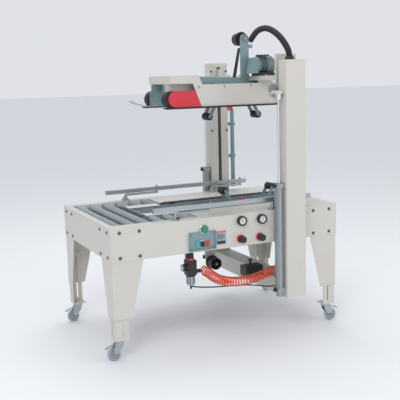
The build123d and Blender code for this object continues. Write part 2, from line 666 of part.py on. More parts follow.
def upper_unit():
    """Upper belt unit: inner plates, slider bars, front pulleys, tape cheeks, ski."""
    line = HEAD_BELT_LINE
    inner = UPPER_INNER
    shaft_x = along(UPPER_REAR)
    low = line + 9
    deck_under = DECK_TOP - SHEET
    outline = [
        (along(PLATE_FRONT), low), (along(PLATE_FRONT), deck_under + 10), (along(HEAD_STEP), deck_under + 10),
        (along(HEAD_STEP), deck_under), (along(HEAD_END) - SHEET, deck_under),
        (along(HEAD_END) - SHEET, low),
    ]
    plate = plate_xz(outline, (-inner - 4, -inner))
    shaft_hole = DRIVE_SHAFT + 2 * RUNNING
    plate -= bar_y(shaft_x, UPPER_AXIS, (-inner - 5, -inner + 1), shaft_hole)
    bearing = block((along(UPPER_FRONT - 36), along(UPPER_FRONT + 56)), (-inner, -inner + 4), (low + 6, low + 88))
    belt_inner = (-HEAD_HALF_WIDTH + SHEET, -inner - 4)
    slider_x = (along(UPPER_FRONT) + 55, shaft_x - 60)
    slider_levels = (line + BELT_THICKNESS + 0.5, line + BELT_THICKNESS + 9)
    slider = block(slider_x, (belt_inner[0] + 1, belt_inner[1]), slider_levels)
    front_x = along(UPPER_FRONT)
    axle_y = (-HEAD_HALF_WIDTH + SHEET - BELT_GUARD_GAP + 2, -inner - 4)
    drum = pulley(front_x, UPPER_AXIS, -UPPER_BELT_OFFSET)
    drum += bar_y(front_x, UPPER_AXIS, axle_y, 16)
    pieces = [plate, bearing, slider, drum]
    pieces += [across(piece) for piece in pieces]
    cheek = tape_housing(*UPPER_CHEEK, low + 6, deck_under)
    for station, level in UPPER_TAPE_PIVOTS:
        pin_y = (-TAPE_HOUSING_HALF - 1, -TAPE_HOUSING_HALF + 4)
        cheek -= bar_y(along(station), level, pin_y, 14 + 2 * RUNNING)
    tie_levels = (deck_under - 24, deck_under - 8)
    tie_y = (-TAPE_HOUSING_HALF + 3, TAPE_HOUSING_HALF - 3)
    tie = block((along(UPPER_TIE[0]), along(UPPER_TIE[1])), tie_y, tie_levels)
    knife_x = along(KNIFE_STATION)
    guard = [
        (knife_x, low + 20), (knife_x + 8, low + 20), (knife_x + 25, line - 34),
        (knife_x + 17, line - 34),
    ]
    knife = plate_xz(guard, (-30, 30))
    hanger = block((knife_x - 5, knife_x + 10), (-30, 30), (low + 20, tie_levels[0]))
    pieces += [cheek, across(cheek), tie, knife, hanger]
    save("upper_belt_unit", *pieces)
    loop = belt(front_x, shaft_x, UPPER_AXIS, -UPPER_BELT_OFFSET)
    save("upper_belts", loop, across(loop))
    half = HEAD_HALF_WIDTH - SHEET - 0.5
    save("upper_drive_shaft", drive_shaft(shaft_x, UPPER_AXIS, UPPER_BELT_OFFSET, half))


def belt_guards():
    """Red side guards over the front of the upper belts, with a rounded nose."""
    y = (-HEAD_HALF_WIDTH, -HEAD_HALF_WIDTH + SHEET)
    low = HEAD_BELT_LINE + 7
    high = low + GUARD_HEIGHT
    nose = along(UPPER_FRONT + 20)
    slope = [
        (nose, low), (along(GUARD_FOOT), low), (along(GUARD_FOOT - 40), high), (nose, high),
    ]
    guard = plate_xz(slope, y) + bar_y(nose, (low + high) / 2, y, high - low)
    save("belt_guards", guard, across(guard))


def head_motor():
    """Belt drive motor lying on the cross member, with ribs, base and gusset."""
    x = (along(MOTOR_STATIONS[0]), along(MOTOR_STATIONS[1]))
    y = MOTOR_Y
    z = CROSS_HIGH + 62
    barrel = bar_x(y, z, x, MOTOR_DIAMETER)
    for n in range(MOTOR_RIBS):
        rib_x = x[0] + (n + 1) * MOTOR_RIB_PITCH
        barrel += bar_x(y, z, (rib_x, rib_x + 3), MOTOR_DIAMETER + 10)
    base = block((x[0] + 4, x[1] - 4), (y - 44, y + 44), (CROSS_HIGH, CROSS_HIGH + 18))
    box = block((x[0] + 25, x[1] - 30), (y - 28, y + 28), (z + 40, z + 62))
    gusset = [
        (x[0] - 34, CROSS_HIGH + 14), (x[0], CROSS_HIGH + 14), (x[0], z + 46),
        (x[0] - 12, z + 46),
    ]
    cowl = plate_xz(gusset, (y - 46, y + 46))
    save("head_motor", barrel + base + box, cowl)


def carriage(face_high):
    """Front carriage: face plate, neck through the column slot, shoe, rod arm, rod."""
    rod_y = -COLUMN_MIDDLE_Y + 3
    plate_x = (COLUMN_X - COLUMN_LENGTH / 2 - 1, COLUMN_X + COLUMN_LENGTH / 2 + 7)
    face_low = HEAD_BELT_LINE + 37
    face = block(plate_x, CARRIAGE_Y, (face_low, face_high))
    neck_x = (COLUMN_X - COLUMN_SLOT / 2 + 2, COLUMN_X + COLUMN_SLOT / 2 - 2)
    inside = -HALF_WIDTH - COLUMN_WALL
    neck_levels = (face_low + 20, COLUMN_TOP - 37)
    neck = block(neck_x, (inside - 12, CARRIAGE_Y[0]), neck_levels)
    shoe_x = (COLUMN_X - COLUMN_LENGTH / 2 + 6, COLUMN_X + COLUMN_LENGTH / 2 - 6)
    shoe_y = (-HALF_WIDTH - COLUMN_DEPTH / 2 + 4, inside - 0.5)
    shoe = block(shoe_x, shoe_y, neck_levels)
    arm_levels = (HEAD_BELT_LINE + 72, HEAD_BELT_LINE + 92)
    arm_x = (CYLINDER_X - 15, COLUMN_X - COLUMN_LENGTH / 2 - 4)
    ear = block((arm_x[0], plate_x[0]), CARRIAGE_Y, (arm_levels[0] - 25, arm_levels[1] + 30))
    arm = block(arm_x, (rod_y - 18, CARRIAGE_Y[0]), arm_levels)
    boss_y = (CARRIAGE_Y[0] - 16, CARRIAGE_Y[0])
    boss = bar_y(CYLINDER_X - 2, arm_levels[1] + 12, boss_y, ROD_BOSS)
    body = face + neck + shoe + ear + arm + boss
    clevis_levels = (HEAD_BELT_LINE + 38, arm_levels[0])
    square = 12
    clevis = block((CYLINDER_X - square, CYLINDER_X + square), (rod_y - square, rod_y + square),
                   clevis_levels)
    rod_foot = CYLINDER_TOP - 32
    rod = bar_z(CYLINDER_X, rod_y, (rod_foot, clevis_levels[0]), ROD_DIAMETER)
    piston = bar_z(CYLINDER_X, rod_y, (rod_foot - 20, rod_foot), CYLINDER_BORE - 2 * RUNNING)
    return [body, clevis + rod + piston]


def carriages():
    """Both carriages and the cross member that joins them over the deck."""
    x = (along(CROSS_STATIONS[0]), along(CROSS_STATIONS[1]))
    cross = block(x, (CARRIAGE_Y[1], -CARRIAGE_Y[1]), (CROSS_LOW, CROSS_HIGH))
    near = carriage(HEAD_BELT_LINE + CARRIAGE_RISE)
    far = carriage(CROSS_HIGH)
    post_y = (-HEAD_HALF_WIDTH, -HEAD_HALF_WIDTH + 14)
    post = block((x[0] + 10, x[1] - 10), post_y, (DECK_TOP, CROSS_LOW))
    save("head_carriages", cross, *near, *[across(piece) for piece in far], post, across(post))


def slide_rails():
    """Black slide rails under the side sheets, and the sprung lead-in ski."""
    line = HEAD_BELT_LINE
    y = (-HEAD_HALF_WIDTH - 8, -HEAD_HALF_WIDTH + SHEET)
    nose, bend = along(RAIL_NOSE[0]), along(RAIL_NOSE[1])
    rail = [
        (nose, line + 2), (nose, line + 8), (bend, line + 7),
        (along(HEAD_END), line + 7), (along(HEAD_END), line - 3), (bend, line - 3),
    ]
    rail = plate_xz(rail, y)
    ski = [(along(station), line + rise) for station, rise in SKI_PROFILE]
    blade = plate_xz(ski, (-30, 30))
    hanger_x = (along(SKI_HANGER[0]), along(SKI_HANGER[1]))
    hanger = block(hanger_x, (-30, 30), (line + 15, DECK_TOP + 7))
    save("slide_rails", rail, across(rail), blade + hanger)


# ---- side guides ---------------------------------------------------------------------
ARM_LEVEL = RAIL_BOTTOM - GUIDE_ARM_ROD / 2 - 4
BASE_TOP = BED_HEIGHT + 20
PIVOT_PIN = 8.0


def guide_base(station):
    """Clamp base of a guide arm on the front panel's flange."""
    x = along(station)
    y = -HALF_WIDTH + GUIDE_INSET
    foot = block((x - 22, x + 22), (y - 22, y + 22), (BED_HEIGHT, BED_HEIGHT + 5))
    boss = bar_z(x, y, (BED_HEIGHT, BASE_TOP), 30)
    body = foot + boss
    return body - bar_z(x, y, (BED_HEIGHT + 5, BASE_TOP + 1), GUIDE_ARM_ROD + 2 * RUNNING)


def guide_arm(station):
    """Bent round arm: stem in its base, then level out to a pin under the rail."""
    x = along(station)
    y = -HALF_WIDTH + GUIDE_INSET
    stem = bar_z(x, y, (BED_HEIGHT + 5 + PIVOT_GAP, ARM_LEVEL), GUIDE_ARM_ROD)
    collar = bar_z(x, y, (BASE_TOP + PIVOT_GAP, BASE_TOP + 8), 22)
    elbow = Pos(x, y, ARM_LEVEL) * Sphere(GUIDE_ARM_ROD / 2)
    level = bar_x(y, ARM_LEVEL, (x, x + GUIDE_ARM_LENGTH), GUIDE_ARM_ROD)
    eye = bar_z(x + GUIDE_ARM_LENGTH, y, (ARM_LEVEL - 7, ARM_LEVEL + 8), 20)
    pin = bar_z(x + GUIDE_ARM_LENGTH, y, (ARM_LEVEL, RAIL_BOTTOM + 20), PIVOT_PIN)
    return stem + collar + elbow + level + eye + pin


def guide_rail():
    """Front guide rail with blind pivot holes; the second has room for an open pivot."""
    x0 = along(RAIL_START)
    y = -HALF_WIDTH + GUIDE_INSET
    levels = (RAIL_BOTTOM, RAIL_BOTTOM + RAIL_HEIGHT)
    rail = block((x0, x0 + RAIL_LENGTH), (y - RAIL_WIDTH / 2, y + RAIL_WIDTH / 2), levels)
    rail = fillet(rail.edges().filter_by(Axis.X), 3)
    for station, gap in zip(GUIDE_STATIONS, (RUNNING, PIVOT_GAP)):
        hole_x = along(station) + GUIDE_ARM_LENGTH
        hole_levels = (RAIL_BOTTOM - 1, RAIL_BOTTOM + 20 + FREE)
        rail -= bar_z(hole_x, y, hole_levels, PIVOT_PIN + 2 * gap)
        stud = bar_z(hole_x, y, (levels[1] - 0.5, levels[1] + 10), 9)
        rail += stud
    return rail


def guides():
    """Bases, parallel arms and rails on both sides."""
    bases = [guide_base(station) for station in GUIDE_STATIONS]
    save("guide_bases", *bases, *[across(base) for base in bases])
    for name, station in zip(("infeed", "outfeed"), GUIDE_STATIONS):
        arm = guide_arm(station)
        save(f"front_guide_arm_{name}", arm)
        save(f"rear_guide_arm_{name}", across(arm))
    save("front_guide_rail", guide_rail())
    save("rear_guide_rail", across(guide_rail()))


# ---- controls ------------------------------------------------------------------------
PLATE_LIMITS = ((460.0, 623.0), (572.0, 675.0))
LABEL_LIMITS = ((630.0, 694.0), (587.0, 667.0))
LAMP_STATION = 509.0
ROCKERS = {"black_rocker": 541.0, "red_rocker": 572.0}
ROCKER_LEVEL = 607.0
ROCKER_SIZE = (24.0, 36.0)
BUTTON_PLACE = (553.0, 690.0)
BUTTON_STEM = 16.0
GAUGES = ((793.0, 711.0), (925.0, 709.0))
KNOBS = {"lift_pressure_knob": (787.0, 606.0), "press_pressure_knob": (914.0, 604.0)}
KNOB_STEM = 10.0
PANEL_Y = (-HALF_WIDTH - 1, -HALF_WIDTH + SHEET + 1)


def cut_panel_openings(panel):
    """Openings of the front panel for the rockers, the button and the knobs."""
    for station in ROCKERS.values():
        x = (along(station) - ROCKER_SIZE[0] / 2, along(station) + ROCKER_SIZE[0] / 2)
        z = (ROCKER_LEVEL - ROCKER_SIZE[1] / 2, ROCKER_LEVEL + ROCKER_SIZE[1] / 2)
        panel -= block(x, PANEL_Y, z)
    panel -= bar_y(along(BUTTON_PLACE[0]), BUTTON_PLACE[1], PANEL_Y, BUTTON_STEM + 2 * RUNNING)
    for station, level in KNOBS.values():
        panel -= bar_y(along(station), level, PANEL_Y, KNOB_STEM + 2 * RUNNING)
    return panel


def rocker(station):
    """Rocker cap on its cross pin, tilted proud at the bottom."""
    x = along(station)
    half_x = ROCKER_SIZE[0] / 2 - 1
    half_z = ROCKER_SIZE[1] / 2 - 3
    face = -HALF_WIDTH - 6
    outline = [
        (face - 7, ROCKER_LEVEL - half_z), (face - 2, ROCKER_LEVEL),
        (face - 1, ROCKER_LEVEL + half_z), (face + 7, ROCKER_LEVEL + half_z - 4),
        (face + 7, ROCKER_LEVEL - half_z + 4),
    ]
    cap = plate_yz(outline, (x - half_x, x + half_x))
    return cap


def controls():
    """Control plate, indicator, label plate, gauges, button, rockers and knobs."""
    face = -HALF_WIDTH
    x = (along(PLATE_LIMITS[0][0]), along(PLATE_LIMITS[0][1]))
    plate = block(x, (face - 6, face), PLATE_LIMITS[1])
    for station in ROCKERS.values():
        hole_x = (along(station) - ROCKER_SIZE[0] / 2, along(station) + ROCKER_SIZE[0] / 2)
        hole_z = (ROCKER_LEVEL - ROCKER_SIZE[1] / 2, ROCKER_LEVEL + ROCKER_SIZE[1] / 2)
        plate -= block(hole_x, (face - 7, face + 1), hole_z)
    lamp_x = (along(LAMP_STATION) - 12, along(LAMP_STATION) + 12)
    lamp_levels = (ROCKER_LEVEL - 19, ROCKER_LEVEL + 19)
    lamp = block(lamp_x, (face - 12, face - 6), lamp_levels)
    label_x = (along(LABEL_LIMITS[0][0]), along(LABEL_LIMITS[0][1]))
    label = block(label_x, (face - 1, face), LABEL_LIMITS[1])
    pieces = [plate, lamp, label]
    for station, level in GAUGES:
        rim = bar_y(along(station), level, (face - 24, face), 56)
        rim -= bar_y(along(station), level, (face - 25, face - 20), 46)
        pieces.append(rim)
    save("control_panel", *pieces)
    button_x = along(BUTTON_PLACE[0])
    cap = bar_y(button_x, BUTTON_PLACE[1], (face - 22, face - 10), 40)
    cap = fillet(cap.edges().filter_by(GeomType.CIRCLE).sort_by(Axis.Y)[0], 4)
    stem = bar_y(button_x, BUTTON_PLACE[1], (face - 10, face + 18), BUTTON_STEM)
    save("start_button", cap + stem)
    for name, station in ROCKERS.items():
        save(name, rocker(station))
    for name, (station, level) in KNOBS.items():
        knob_x = along(station)
        grip = bar_y(knob_x, level, (face - 42, face - 12), 40)
        for turn in range(12):
            angle = radians(turn * 30)
            place = (knob_x + 20.5 * cos(angle), level + 20.5 * sin(angle))
            grip -= bar_y(*place, (face - 43, face - 11), 4)
        ring = bar_y(knob_x, level, (face - 12, face - PIVOT_GAP), 48)
        stem = bar_y(knob_x, level, (face - PIVOT_GAP, face + 20), KNOB_STEM)
        save(name, grip + ring + stem)


# ---- air units and motor under the bed -----------------------------------------------
REGULATOR = (484.0, -HALF_WIDTH + 42.0)
FILTER_LEVELS = {"drain": (342.0, 364.0), "bowl": (362.0, 425.0), "body": (425.0, 510.0),
                 "dome": (510.0, 522.0), "knob": (522.0, 548.0)}
OUTLET_LEVEL = 440.0
SIDE_GAUGE_LEVEL = 470.0
HOSE_BLOCK = ((1085.0, 1125.0), (345.0, 395.0))
VALVE_STATIONS = (940.0, 1058.0)
VALVE_LEVELS = (305.0, 368.0)
VALVE_Y = -190.0
LOWER_MOTOR_STATION = 960.0
LOWER_MOTOR_DROP = 70.0
LOWER_MOTOR_DIAMETER = 110.0
LOWER_MOTOR_RIBS = 10


def air_units():
    """Filter-regulator on its bracket, hose manifold and shut-off block."""
    x = along(REGULATOR[0])
    y = REGULATOR[1]
    body = block((x - 28, x + 28), (y - 26, y + 26), FILTER_LEVELS["body"])
    dome = bar_z(x, y, FILTER_LEVELS["dome"], 44)
    knob = bar_z(x, y, FILTER_LEVELS["knob"], 38)
    bowl = bar_z(x, y, FILTER_LEVELS["bowl"], 48)
    bowl = fillet(bowl.edges().filter_by(GeomType.CIRCLE).sort_by(Axis.Z)[0], 12)
    drain = bar_z(x, y, FILTER_LEVELS["drain"], 12)
    gauge = bar_x(y, SIDE_GAUGE_LEVEL, (x - 50, x - 28), 40)
    outlet = bar_x(y, OUTLET_LEVEL, (x + 28, x + 62), 22)
    bracket = block((x - 20, x + 20), (y + 26, y + 30), (SIDE_GAUGE_LEVEL, PANEL_BOTTOM))
    bracket += block((x - 20, x + 20), (-HALF_WIDTH + SHEET, y + 30),
                     (PANEL_BOTTOM + SHEET, PANEL_BOTTOM + 2 * SHEET))
    bracket += block((x - 20, x + 20), (y + 26, y + 30), (PANEL_BOTTOM - 1, PANEL_BOTTOM + 2 * SHEET))
    hose_x = (along(HOSE_BLOCK[0][0]), along(HOSE_BLOCK[0][1]))
    manifold = block(hose_x, (-HALF_WIDTH, -HALF_WIDTH + 105), HOSE_BLOCK[1])
    valve_x = (along(VALVE_STATIONS[0]), along(VALVE_STATIONS[1]))
    valve = block(valve_x, (VALVE_Y - 40, VALVE_Y + 40), VALVE_LEVELS)
    stem_x = valve_x[0] + 50
    stem_top = VALVE_LEVELS[1] + 32
    valve += bar_z(stem_x, VALVE_Y, (VALVE_LEVELS[1], stem_top), 12)
    valve += bar_x(VALVE_Y, stem_top + 2, (stem_x - 16, stem_x + 16), 9)
    pieces = [body + dome + knob + bowl + drain + gauge + outlet, bracket, manifold, valve]
    save("air_units", *pieces)


def lower_motor():
    """Lower belt motor hung under the cross plates of the belt unit."""
    x = along(LOWER_MOTOR_STATION)
    z = BED_HEIGHT - UNIT_DEPTH - LOWER_MOTOR_DROP
    barrel = bar_y(x, z, (-110, 60), LOWER_MOTOR_DIAMETER)
    for n in range(LOWER_MOTOR_RIBS):
        rib_y = -90 + n * 14
        barrel += bar_y(x, z, (rib_y, rib_y + 3), LOWER_MOTOR_DIAMETER + 12)
    saddle = block((x - 45, x + 45), (-80, 20), (z + 40, BED_HEIGHT - UNIT_DEPTH))
    save("lower_motor", barrel + saddle)


# ---- cords ---------------------------------------------------------------------------
def route(points):
    """Straight runs joined by the largest arcs that the runs allow."""
    corners = [Vector(*point) for point in points]
    radii = []
    for before, here, after in zip(corners, corners[1:], corners[2:]):
        first = here - before
        second = after - here
        turn = radians(first.get_angle(second))
        shorter = min(first.length, second.length)
        radii.append(0.45 * shorter / tan(turn / 2))
    return FilletPolyline(*corners, radius=radii), radii


def tube(name, points, diameter):
    """A cord's plain round solid along its route."""
    path, radii = route(points)
    start = Plane(origin=path @ 0, z_dir=path % 0)
    solid = sweep(start * Circle(diameter / 2), path)
    ideal = path.length * (diameter / 2) ** 2 * pi
    print(f"{name}: length {path.length:.0f}, volume ratio {solid.volume / ideal:.4f},",
          "radii", [round(radius) for radius in radii])
    save(name, solid)


CONDUIT_POINTS = [
    (361.5, -58.0, 1745.0), (362.0, -104.0, 1782.0), (364.0, -165.0, 1805.0),
    (366.0, -232.0, 1809.0), (368.0, -300.0, 1793.0), (371.0, -372.0, 1758.0),
    (374.0, -434.0, 1710.0), (377.5, -477.0, 1656.0), (377.5, -477.0, 1614.0),
]
HOSE_DIAMETER = 60.0
HOSE_POINTS = [
    (-181.5, -400.0, 440.0), (-157.0, -400.0, 440.0), (-112.0, -391.0, 403.0),
    (-60.0, -378.0, 365.0), (15.0, -367.0, 337.0), (95.0, -362.0, 327.0),
    (180.0, -362.0, 330.0), (255.0, -367.0, 348.0), (315.0, -372.0, 370.0),
    (357.5, -372.0, 370.0),
]
TUBE_DIAMETER = 8.0
TUBE_POINTS = [
    (-237.0, -376.0, 352.0), (-215.0, -360.0, 340.0), (-150.0, -340.0, 322.0),
    (-60.0, -326.0, 306.0), (40.0, -320.0, 297.0), (140.0, -324.0, 290.0),
    (220.0, -340.0, 281.0), (285.0, -372.0, 270.0), (330.5, -372.0, 270.0),
]


def cords():
    """Conduit of the head, coiled air hose and a loose air tube."""
    tube("conduit", CONDUIT_POINTS, CONDUIT_DIAMETER)
    tube("coil_hose", HOSE_POINTS, HOSE_DIAMETER)
    tube("air_tube", TUBE_POINTS, TUBE_DIAMETER)


os.makedirs("parts", exist_ok=True)
bed()
legs()
rollers()
column_frame()
lift()
lower_unit()
tape_heads()
head_covers()
head_mast()
upper_unit()
belt_guards()
head_motor()
carriages()
slide_rails()
guides()
controls()
air_units()
lower_motor()
cords()
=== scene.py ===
"""Looks of the carton sealer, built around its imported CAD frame."""
import json
import math

import bmesh
import bpy
from mathutils import Matrix, Vector


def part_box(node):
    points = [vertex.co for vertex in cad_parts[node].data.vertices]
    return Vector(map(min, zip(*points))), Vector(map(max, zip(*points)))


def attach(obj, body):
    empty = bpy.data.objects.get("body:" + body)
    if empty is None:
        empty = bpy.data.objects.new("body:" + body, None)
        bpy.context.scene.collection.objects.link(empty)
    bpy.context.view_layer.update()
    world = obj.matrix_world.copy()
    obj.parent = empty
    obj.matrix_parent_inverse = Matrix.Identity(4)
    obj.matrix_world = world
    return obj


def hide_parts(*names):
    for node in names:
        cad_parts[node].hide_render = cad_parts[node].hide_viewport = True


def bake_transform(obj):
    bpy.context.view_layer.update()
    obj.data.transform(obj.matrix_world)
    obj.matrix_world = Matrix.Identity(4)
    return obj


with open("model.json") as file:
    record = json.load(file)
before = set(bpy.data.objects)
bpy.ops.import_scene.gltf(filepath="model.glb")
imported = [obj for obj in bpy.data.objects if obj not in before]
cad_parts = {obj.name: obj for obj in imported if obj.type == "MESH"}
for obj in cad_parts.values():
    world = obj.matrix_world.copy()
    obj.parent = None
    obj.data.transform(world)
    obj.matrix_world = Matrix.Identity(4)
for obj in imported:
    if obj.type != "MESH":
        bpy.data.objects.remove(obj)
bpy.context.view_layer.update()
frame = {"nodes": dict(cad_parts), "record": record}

# ---- Camera, floor and light ---------------------------------------------------------
# A 68 mm lens at eye height, off to the infeed side of the control front, aimed slightly
# down. The floor is plain and pale, and four soft panels light it as a studio does.
CAMERA_PLACE = (-1.9843, -4.2085, 1.54065)
CAMERA_LENS = 68.25
SENSOR_WIDTH = 36
yaw, pitch, roll = math.radians(25.44), math.radians(9.33), math.radians(-1.45)
ahead = Vector((math.sin(yaw) * math.cos(pitch), math.cos(yaw) * math.cos(pitch),
                -math.sin(pitch)))
level = Vector((math.cos(yaw), -math.sin(yaw), 0))
upright = level.cross(ahead)
side = math.cos(roll) * level + math.sin(roll) * upright
top = -math.sin(roll) * level + math.cos(roll) * upright
camera = bpy.data.objects.new("photographer", bpy.data.cameras.new("photographer"))
camera.data.lens = CAMERA_LENS
camera.data.sensor_width = SENSOR_WIDTH
pose = Matrix((side, top, -ahead)).transposed().to_4x4()
pose.translation = CAMERA_PLACE
camera.matrix_world = pose
bpy.context.scene.collection.objects.link(camera)
bpy.context.scene.camera = camera


def studio_panel(name, place, target, width, power):
    lamp = bpy.data.lights.new(name, "AREA")
    lamp.shape = "DISK"
    lamp.size = width
    lamp.energy = power
    panel = bpy.data.objects.new(name, lamp)
    panel.location = place
    panel.rotation_euler = (Vector(target) - Vector(place)).to_track_quat("-Z", "Y").to_euler()
    bpy.context.scene.collection.objects.link(panel)


studio_panel("key_light", (-3.2, -4.0, 4.4), (0, 0, 0.8), 2.6, 85)
studio_panel("fill_light", (3.4, -3.6, 2.2), (0, 0, 0.7), 2.8, 22)
studio_panel("top_light", (0.4, 1.6, 4.6), (0, 0, 0.9), 3.0, 45)
studio_panel("low_front_light", (-0.6, -4.4, 0.5), (0, 0, 0.45), 1.8, 7)

sky = bpy.data.worlds.new("studio")
bpy.context.scene.world = sky
sky.use_nodes = True
bpy.context.scene.view_settings.view_transform = "Standard"
sky.node_tree.nodes["Background"].inputs["Color"].default_value = (0.93, 0.95, 1.0, 1)
sky.node_tree.nodes["Background"].inputs["Strength"].default_value = 0.80

bpy.ops.mesh.primitive_plane_add(size=120, location=(0, 0, 0))
floor = bpy.context.object
floor.name = "studio_floor"

# ---- Surfaces ------------------------------------------------------------------------
# Powder-coated sheet, satin machine paint, zinc and ground steel, rubber and moulded
# plastic. Each has its own grain and wear, and the bare CAD edges are eased in shading.
record = frame["record"]
node_slot = {entry["node"]: entry["material_slot"] for entry in record["subparts"]}


def surface(name, colour, metal=0.0, rough=0.5, grain=400, relief=0.05, mottling=0.05,
            ease=0.0012, coat=0.0, stretch=(1, 1, 1)):
    finish = bpy.data.materials.new(name)
    finish.use_nodes = True
    tree = finish.node_tree
    shader = tree.nodes["Principled BSDF"]
    shader.inputs["Metallic"].default_value = metal
    shader.inputs["Coat Weight"].default_value = coat
    place = tree.nodes.new("ShaderNodeTexCoord")
    spread = tree.nodes.new("ShaderNodeMapping")
    spread.inputs["Scale"].default_value = stretch
    tree.links.new(place.outputs["Object"], spread.inputs["Vector"])
    patches = tree.nodes.new("ShaderNodeTexNoise")
    patches.inputs["Scale"].default_value = 5
    patches.inputs["Detail"].default_value = 6
    tree.links.new(spread.outputs["Vector"], patches.inputs["Vector"])
    tint = tree.nodes.new("ShaderNodeMapRange")
    tint.inputs["From Min"].default_value = 0.3
    tint.inputs["From Max"].default_value = 0.7
    tint.inputs["To Min"].default_value = 1 - mottling
    tint.inputs["To Max"].default_value = 1 + mottling
    tree.links.new(patches.outputs["Fac"], tint.inputs["Value"])
    mixed = tree.nodes.new("ShaderNodeVectorMath")
    mixed.operation = "SCALE"
    mixed.inputs[0].default_value = colour[:3]
    tree.links.new(tint.outputs["Result"], mixed.inputs["Scale"])
    tree.links.new(mixed.outputs["Vector"], shader.inputs["Base Color"])
    fine = tree.nodes.new("ShaderNodeTexNoise")
    fine.inputs["Scale"].default_value = grain
    fine.inputs["Detail"].default_value = 3
    tree.links.new(spread.outputs["Vector"], fine.inputs["Vector"])
    polish = tree.nodes.new("ShaderNodeMapRange")
    polish.inputs["To Min"].default_value = max(rough - 0.08, 0.04)
    polish.inputs["To Max"].default_value = min(rough + 0.10, 1)
    tree.links.new(patches.outputs["Fac"], polish.inputs["Value"])
    tree.links.new(polish.outputs["Result"], shader.inputs["Roughness"])
    eased = tree.nodes.new("ShaderNodeBevel")
    eased.samples = 4
    eased.inputs["Radius"].default_value = ease
    bump = tree.nodes.new("ShaderNodeBump")
    bump.inputs["Strength"].default_value = relief
    bump.inputs["Distance"].default_value = 0.001
    tree.links.new(fine.outputs["Fac"], bump.inputs["Height"])
    tree.links.new(eased.outputs["Normal"], bump.inputs["Normal"])
    tree.links.new(bump.outputs["Normal"], shader.inputs["Normal"])
    return finish


surfaces = {
    "beige_paint": surface("beige_paint", (0.60, 0.583, 0.535), rough=0.44, grain=700,
                           relief=0.10, mottling=0.02, coat=0.06),
    "grey_paint": surface("grey_paint", (0.20, 0.30, 0.32), rough=0.40, grain=500, relief=0.06,
                          mottling=0.04, coat=0.1),
    "red_paint": surface("red_paint", (0.62, 0.028, 0.045), rough=0.34, grain=500, relief=0.05,
                         mottling=0.03, coat=0.2),
    "zinc": surface("zinc", (0.30, 0.355, 0.375), metal=0.55, rough=0.36, grain=180, relief=0.05,
                    mottling=0.08, stretch=(1, 0.08, 1)),
    "chrome": surface("chrome", (0.74, 0.75, 0.77), metal=1.0, rough=0.14, grain=300, relief=0.01,
                      mottling=0.03),
    "black_rubber": surface("black_rubber", (0.012, 0.018, 0.016), rough=0.66, grain=900,
                            relief=0.3, mottling=0.15),
    "black_plastic": surface("black_plastic", (0.014, 0.014, 0.016), rough=0.42, grain=800,
                             relief=0.12, mottling=0.08),
    "grey_plastic": surface("grey_plastic", (0.30, 0.38, 0.44), rough=0.45, grain=500, relief=0.05,
                            mottling=0.05),
    "red_plastic": surface("red_plastic", (0.60, 0.02, 0.02), rough=0.28, relief=0.02, coat=0.4),
    "green_plastic": surface("green_plastic", (0.01, 0.24, 0.10), rough=0.28, relief=0.02,
                             coat=0.4),
    "orange_hose": surface("orange_hose", (0.78, 0.085, 0.025), rough=0.28, relief=0.02, coat=0.4,
                           ease=0.0004),
    "blue_hose": surface("blue_hose", (0.012, 0.016, 0.04), rough=0.3, relief=0.02, coat=0.4,
                         ease=0.0004),
    "white_card": surface("white_card", (0.66, 0.67, 0.67), rough=0.5, relief=0.02, mottling=0.02),
    "lens": surface("lens", (0.02, 0.36, 0.34), rough=0.12, relief=0.0, coat=0.8),
    "bright_steel": surface("bright_steel", (0.46, 0.49, 0.505), metal=0.9, rough=0.30, grain=220,
                            relief=0.04, mottling=0.06),
    "aluminium": surface("aluminium", (0.33, 0.37, 0.38), metal=0.35, rough=0.40, grain=260,
                         relief=0.03, mottling=0.03, stretch=(1, 1, 0.1)),
    "mid_steel": surface("mid_steel", (0.16, 0.17, 0.18), metal=0.75, rough=0.38, relief=0.05),
    "dark_steel": surface("dark_steel", (0.06, 0.065, 0.07), metal=0.7, rough=0.42, relief=0.06),
    "backdrop": surface("backdrop", (0.86, 0.87, 0.88), rough=0.8, relief=0.0, mottling=0.004),
}
floor.data.materials.append(surfaces["backdrop"])


def coat_piece(piece, name):
    """Puts a surface on a piece."""
    piece.data.materials.clear()
    piece.data.materials.append(surfaces[name])
    return piece


SHARP_ANGLE = 32
for node, skin in frame["nodes"].items():
    skin.data.materials.clear()
    own = "bright_steel" if "guide" in node or "caster_fork" in node else node_slot[node]
    skin.data.materials.append(surfaces["aluminium" if node == "lift_cylinders" else own])
    for face in skin.data.polygons:
        face.use_smooth = True
    skin.data.set_sharp_from_angle(angle=math.radians(SHARP_ANGLE))

# ---- Cable conduit on the head -------------------------------------------------------
# A ribbed black plastic conduit in a tall arch from the clip behind the mast to the gland
# on top of the front column.
CONDUIT_RADIUS = 0.018
RIB_PROFILE = (CONDUIT_RADIUS, CONDUIT_RADIUS, 0.0158, 0.0152)
RIB_STEP = 0.0016
conduit_route = [
    (0.3615, -0.058, 1.745), (0.362, -0.104, 1.782), (0.364, -0.165, 1.805),
    (0.366, -0.232, 1.809), (0.368, -0.300, 1.793), (0.371, -0.372, 1.758),
    (0.374, -0.434, 1.710), (0.3775, -0.477, 1.656), (0.3775, -0.477, 1.614),
]


def spline_cord(name, points, radius, steps=12):
    """A NURBS tube through the given control points."""
    line = bpy.data.curves.new(name, "CURVE")
    line.dimensions = "3D"
    run = line.splines.new("NURBS")
    run.points.add(len(points) - 1)
    for knot, place in zip(run.points, points):
        knot.co = (*place, 1)
    run.order_u = 3
    run.use_endpoint_u = True
    run.resolution_u = steps
    line.bevel_depth = radius
    line.bevel_resolution = 6
    line.use_fill_caps = True
    cord = bpy.data.objects.new(name, line)
    bpy.context.scene.collection.objects.link(cord)
    return cord


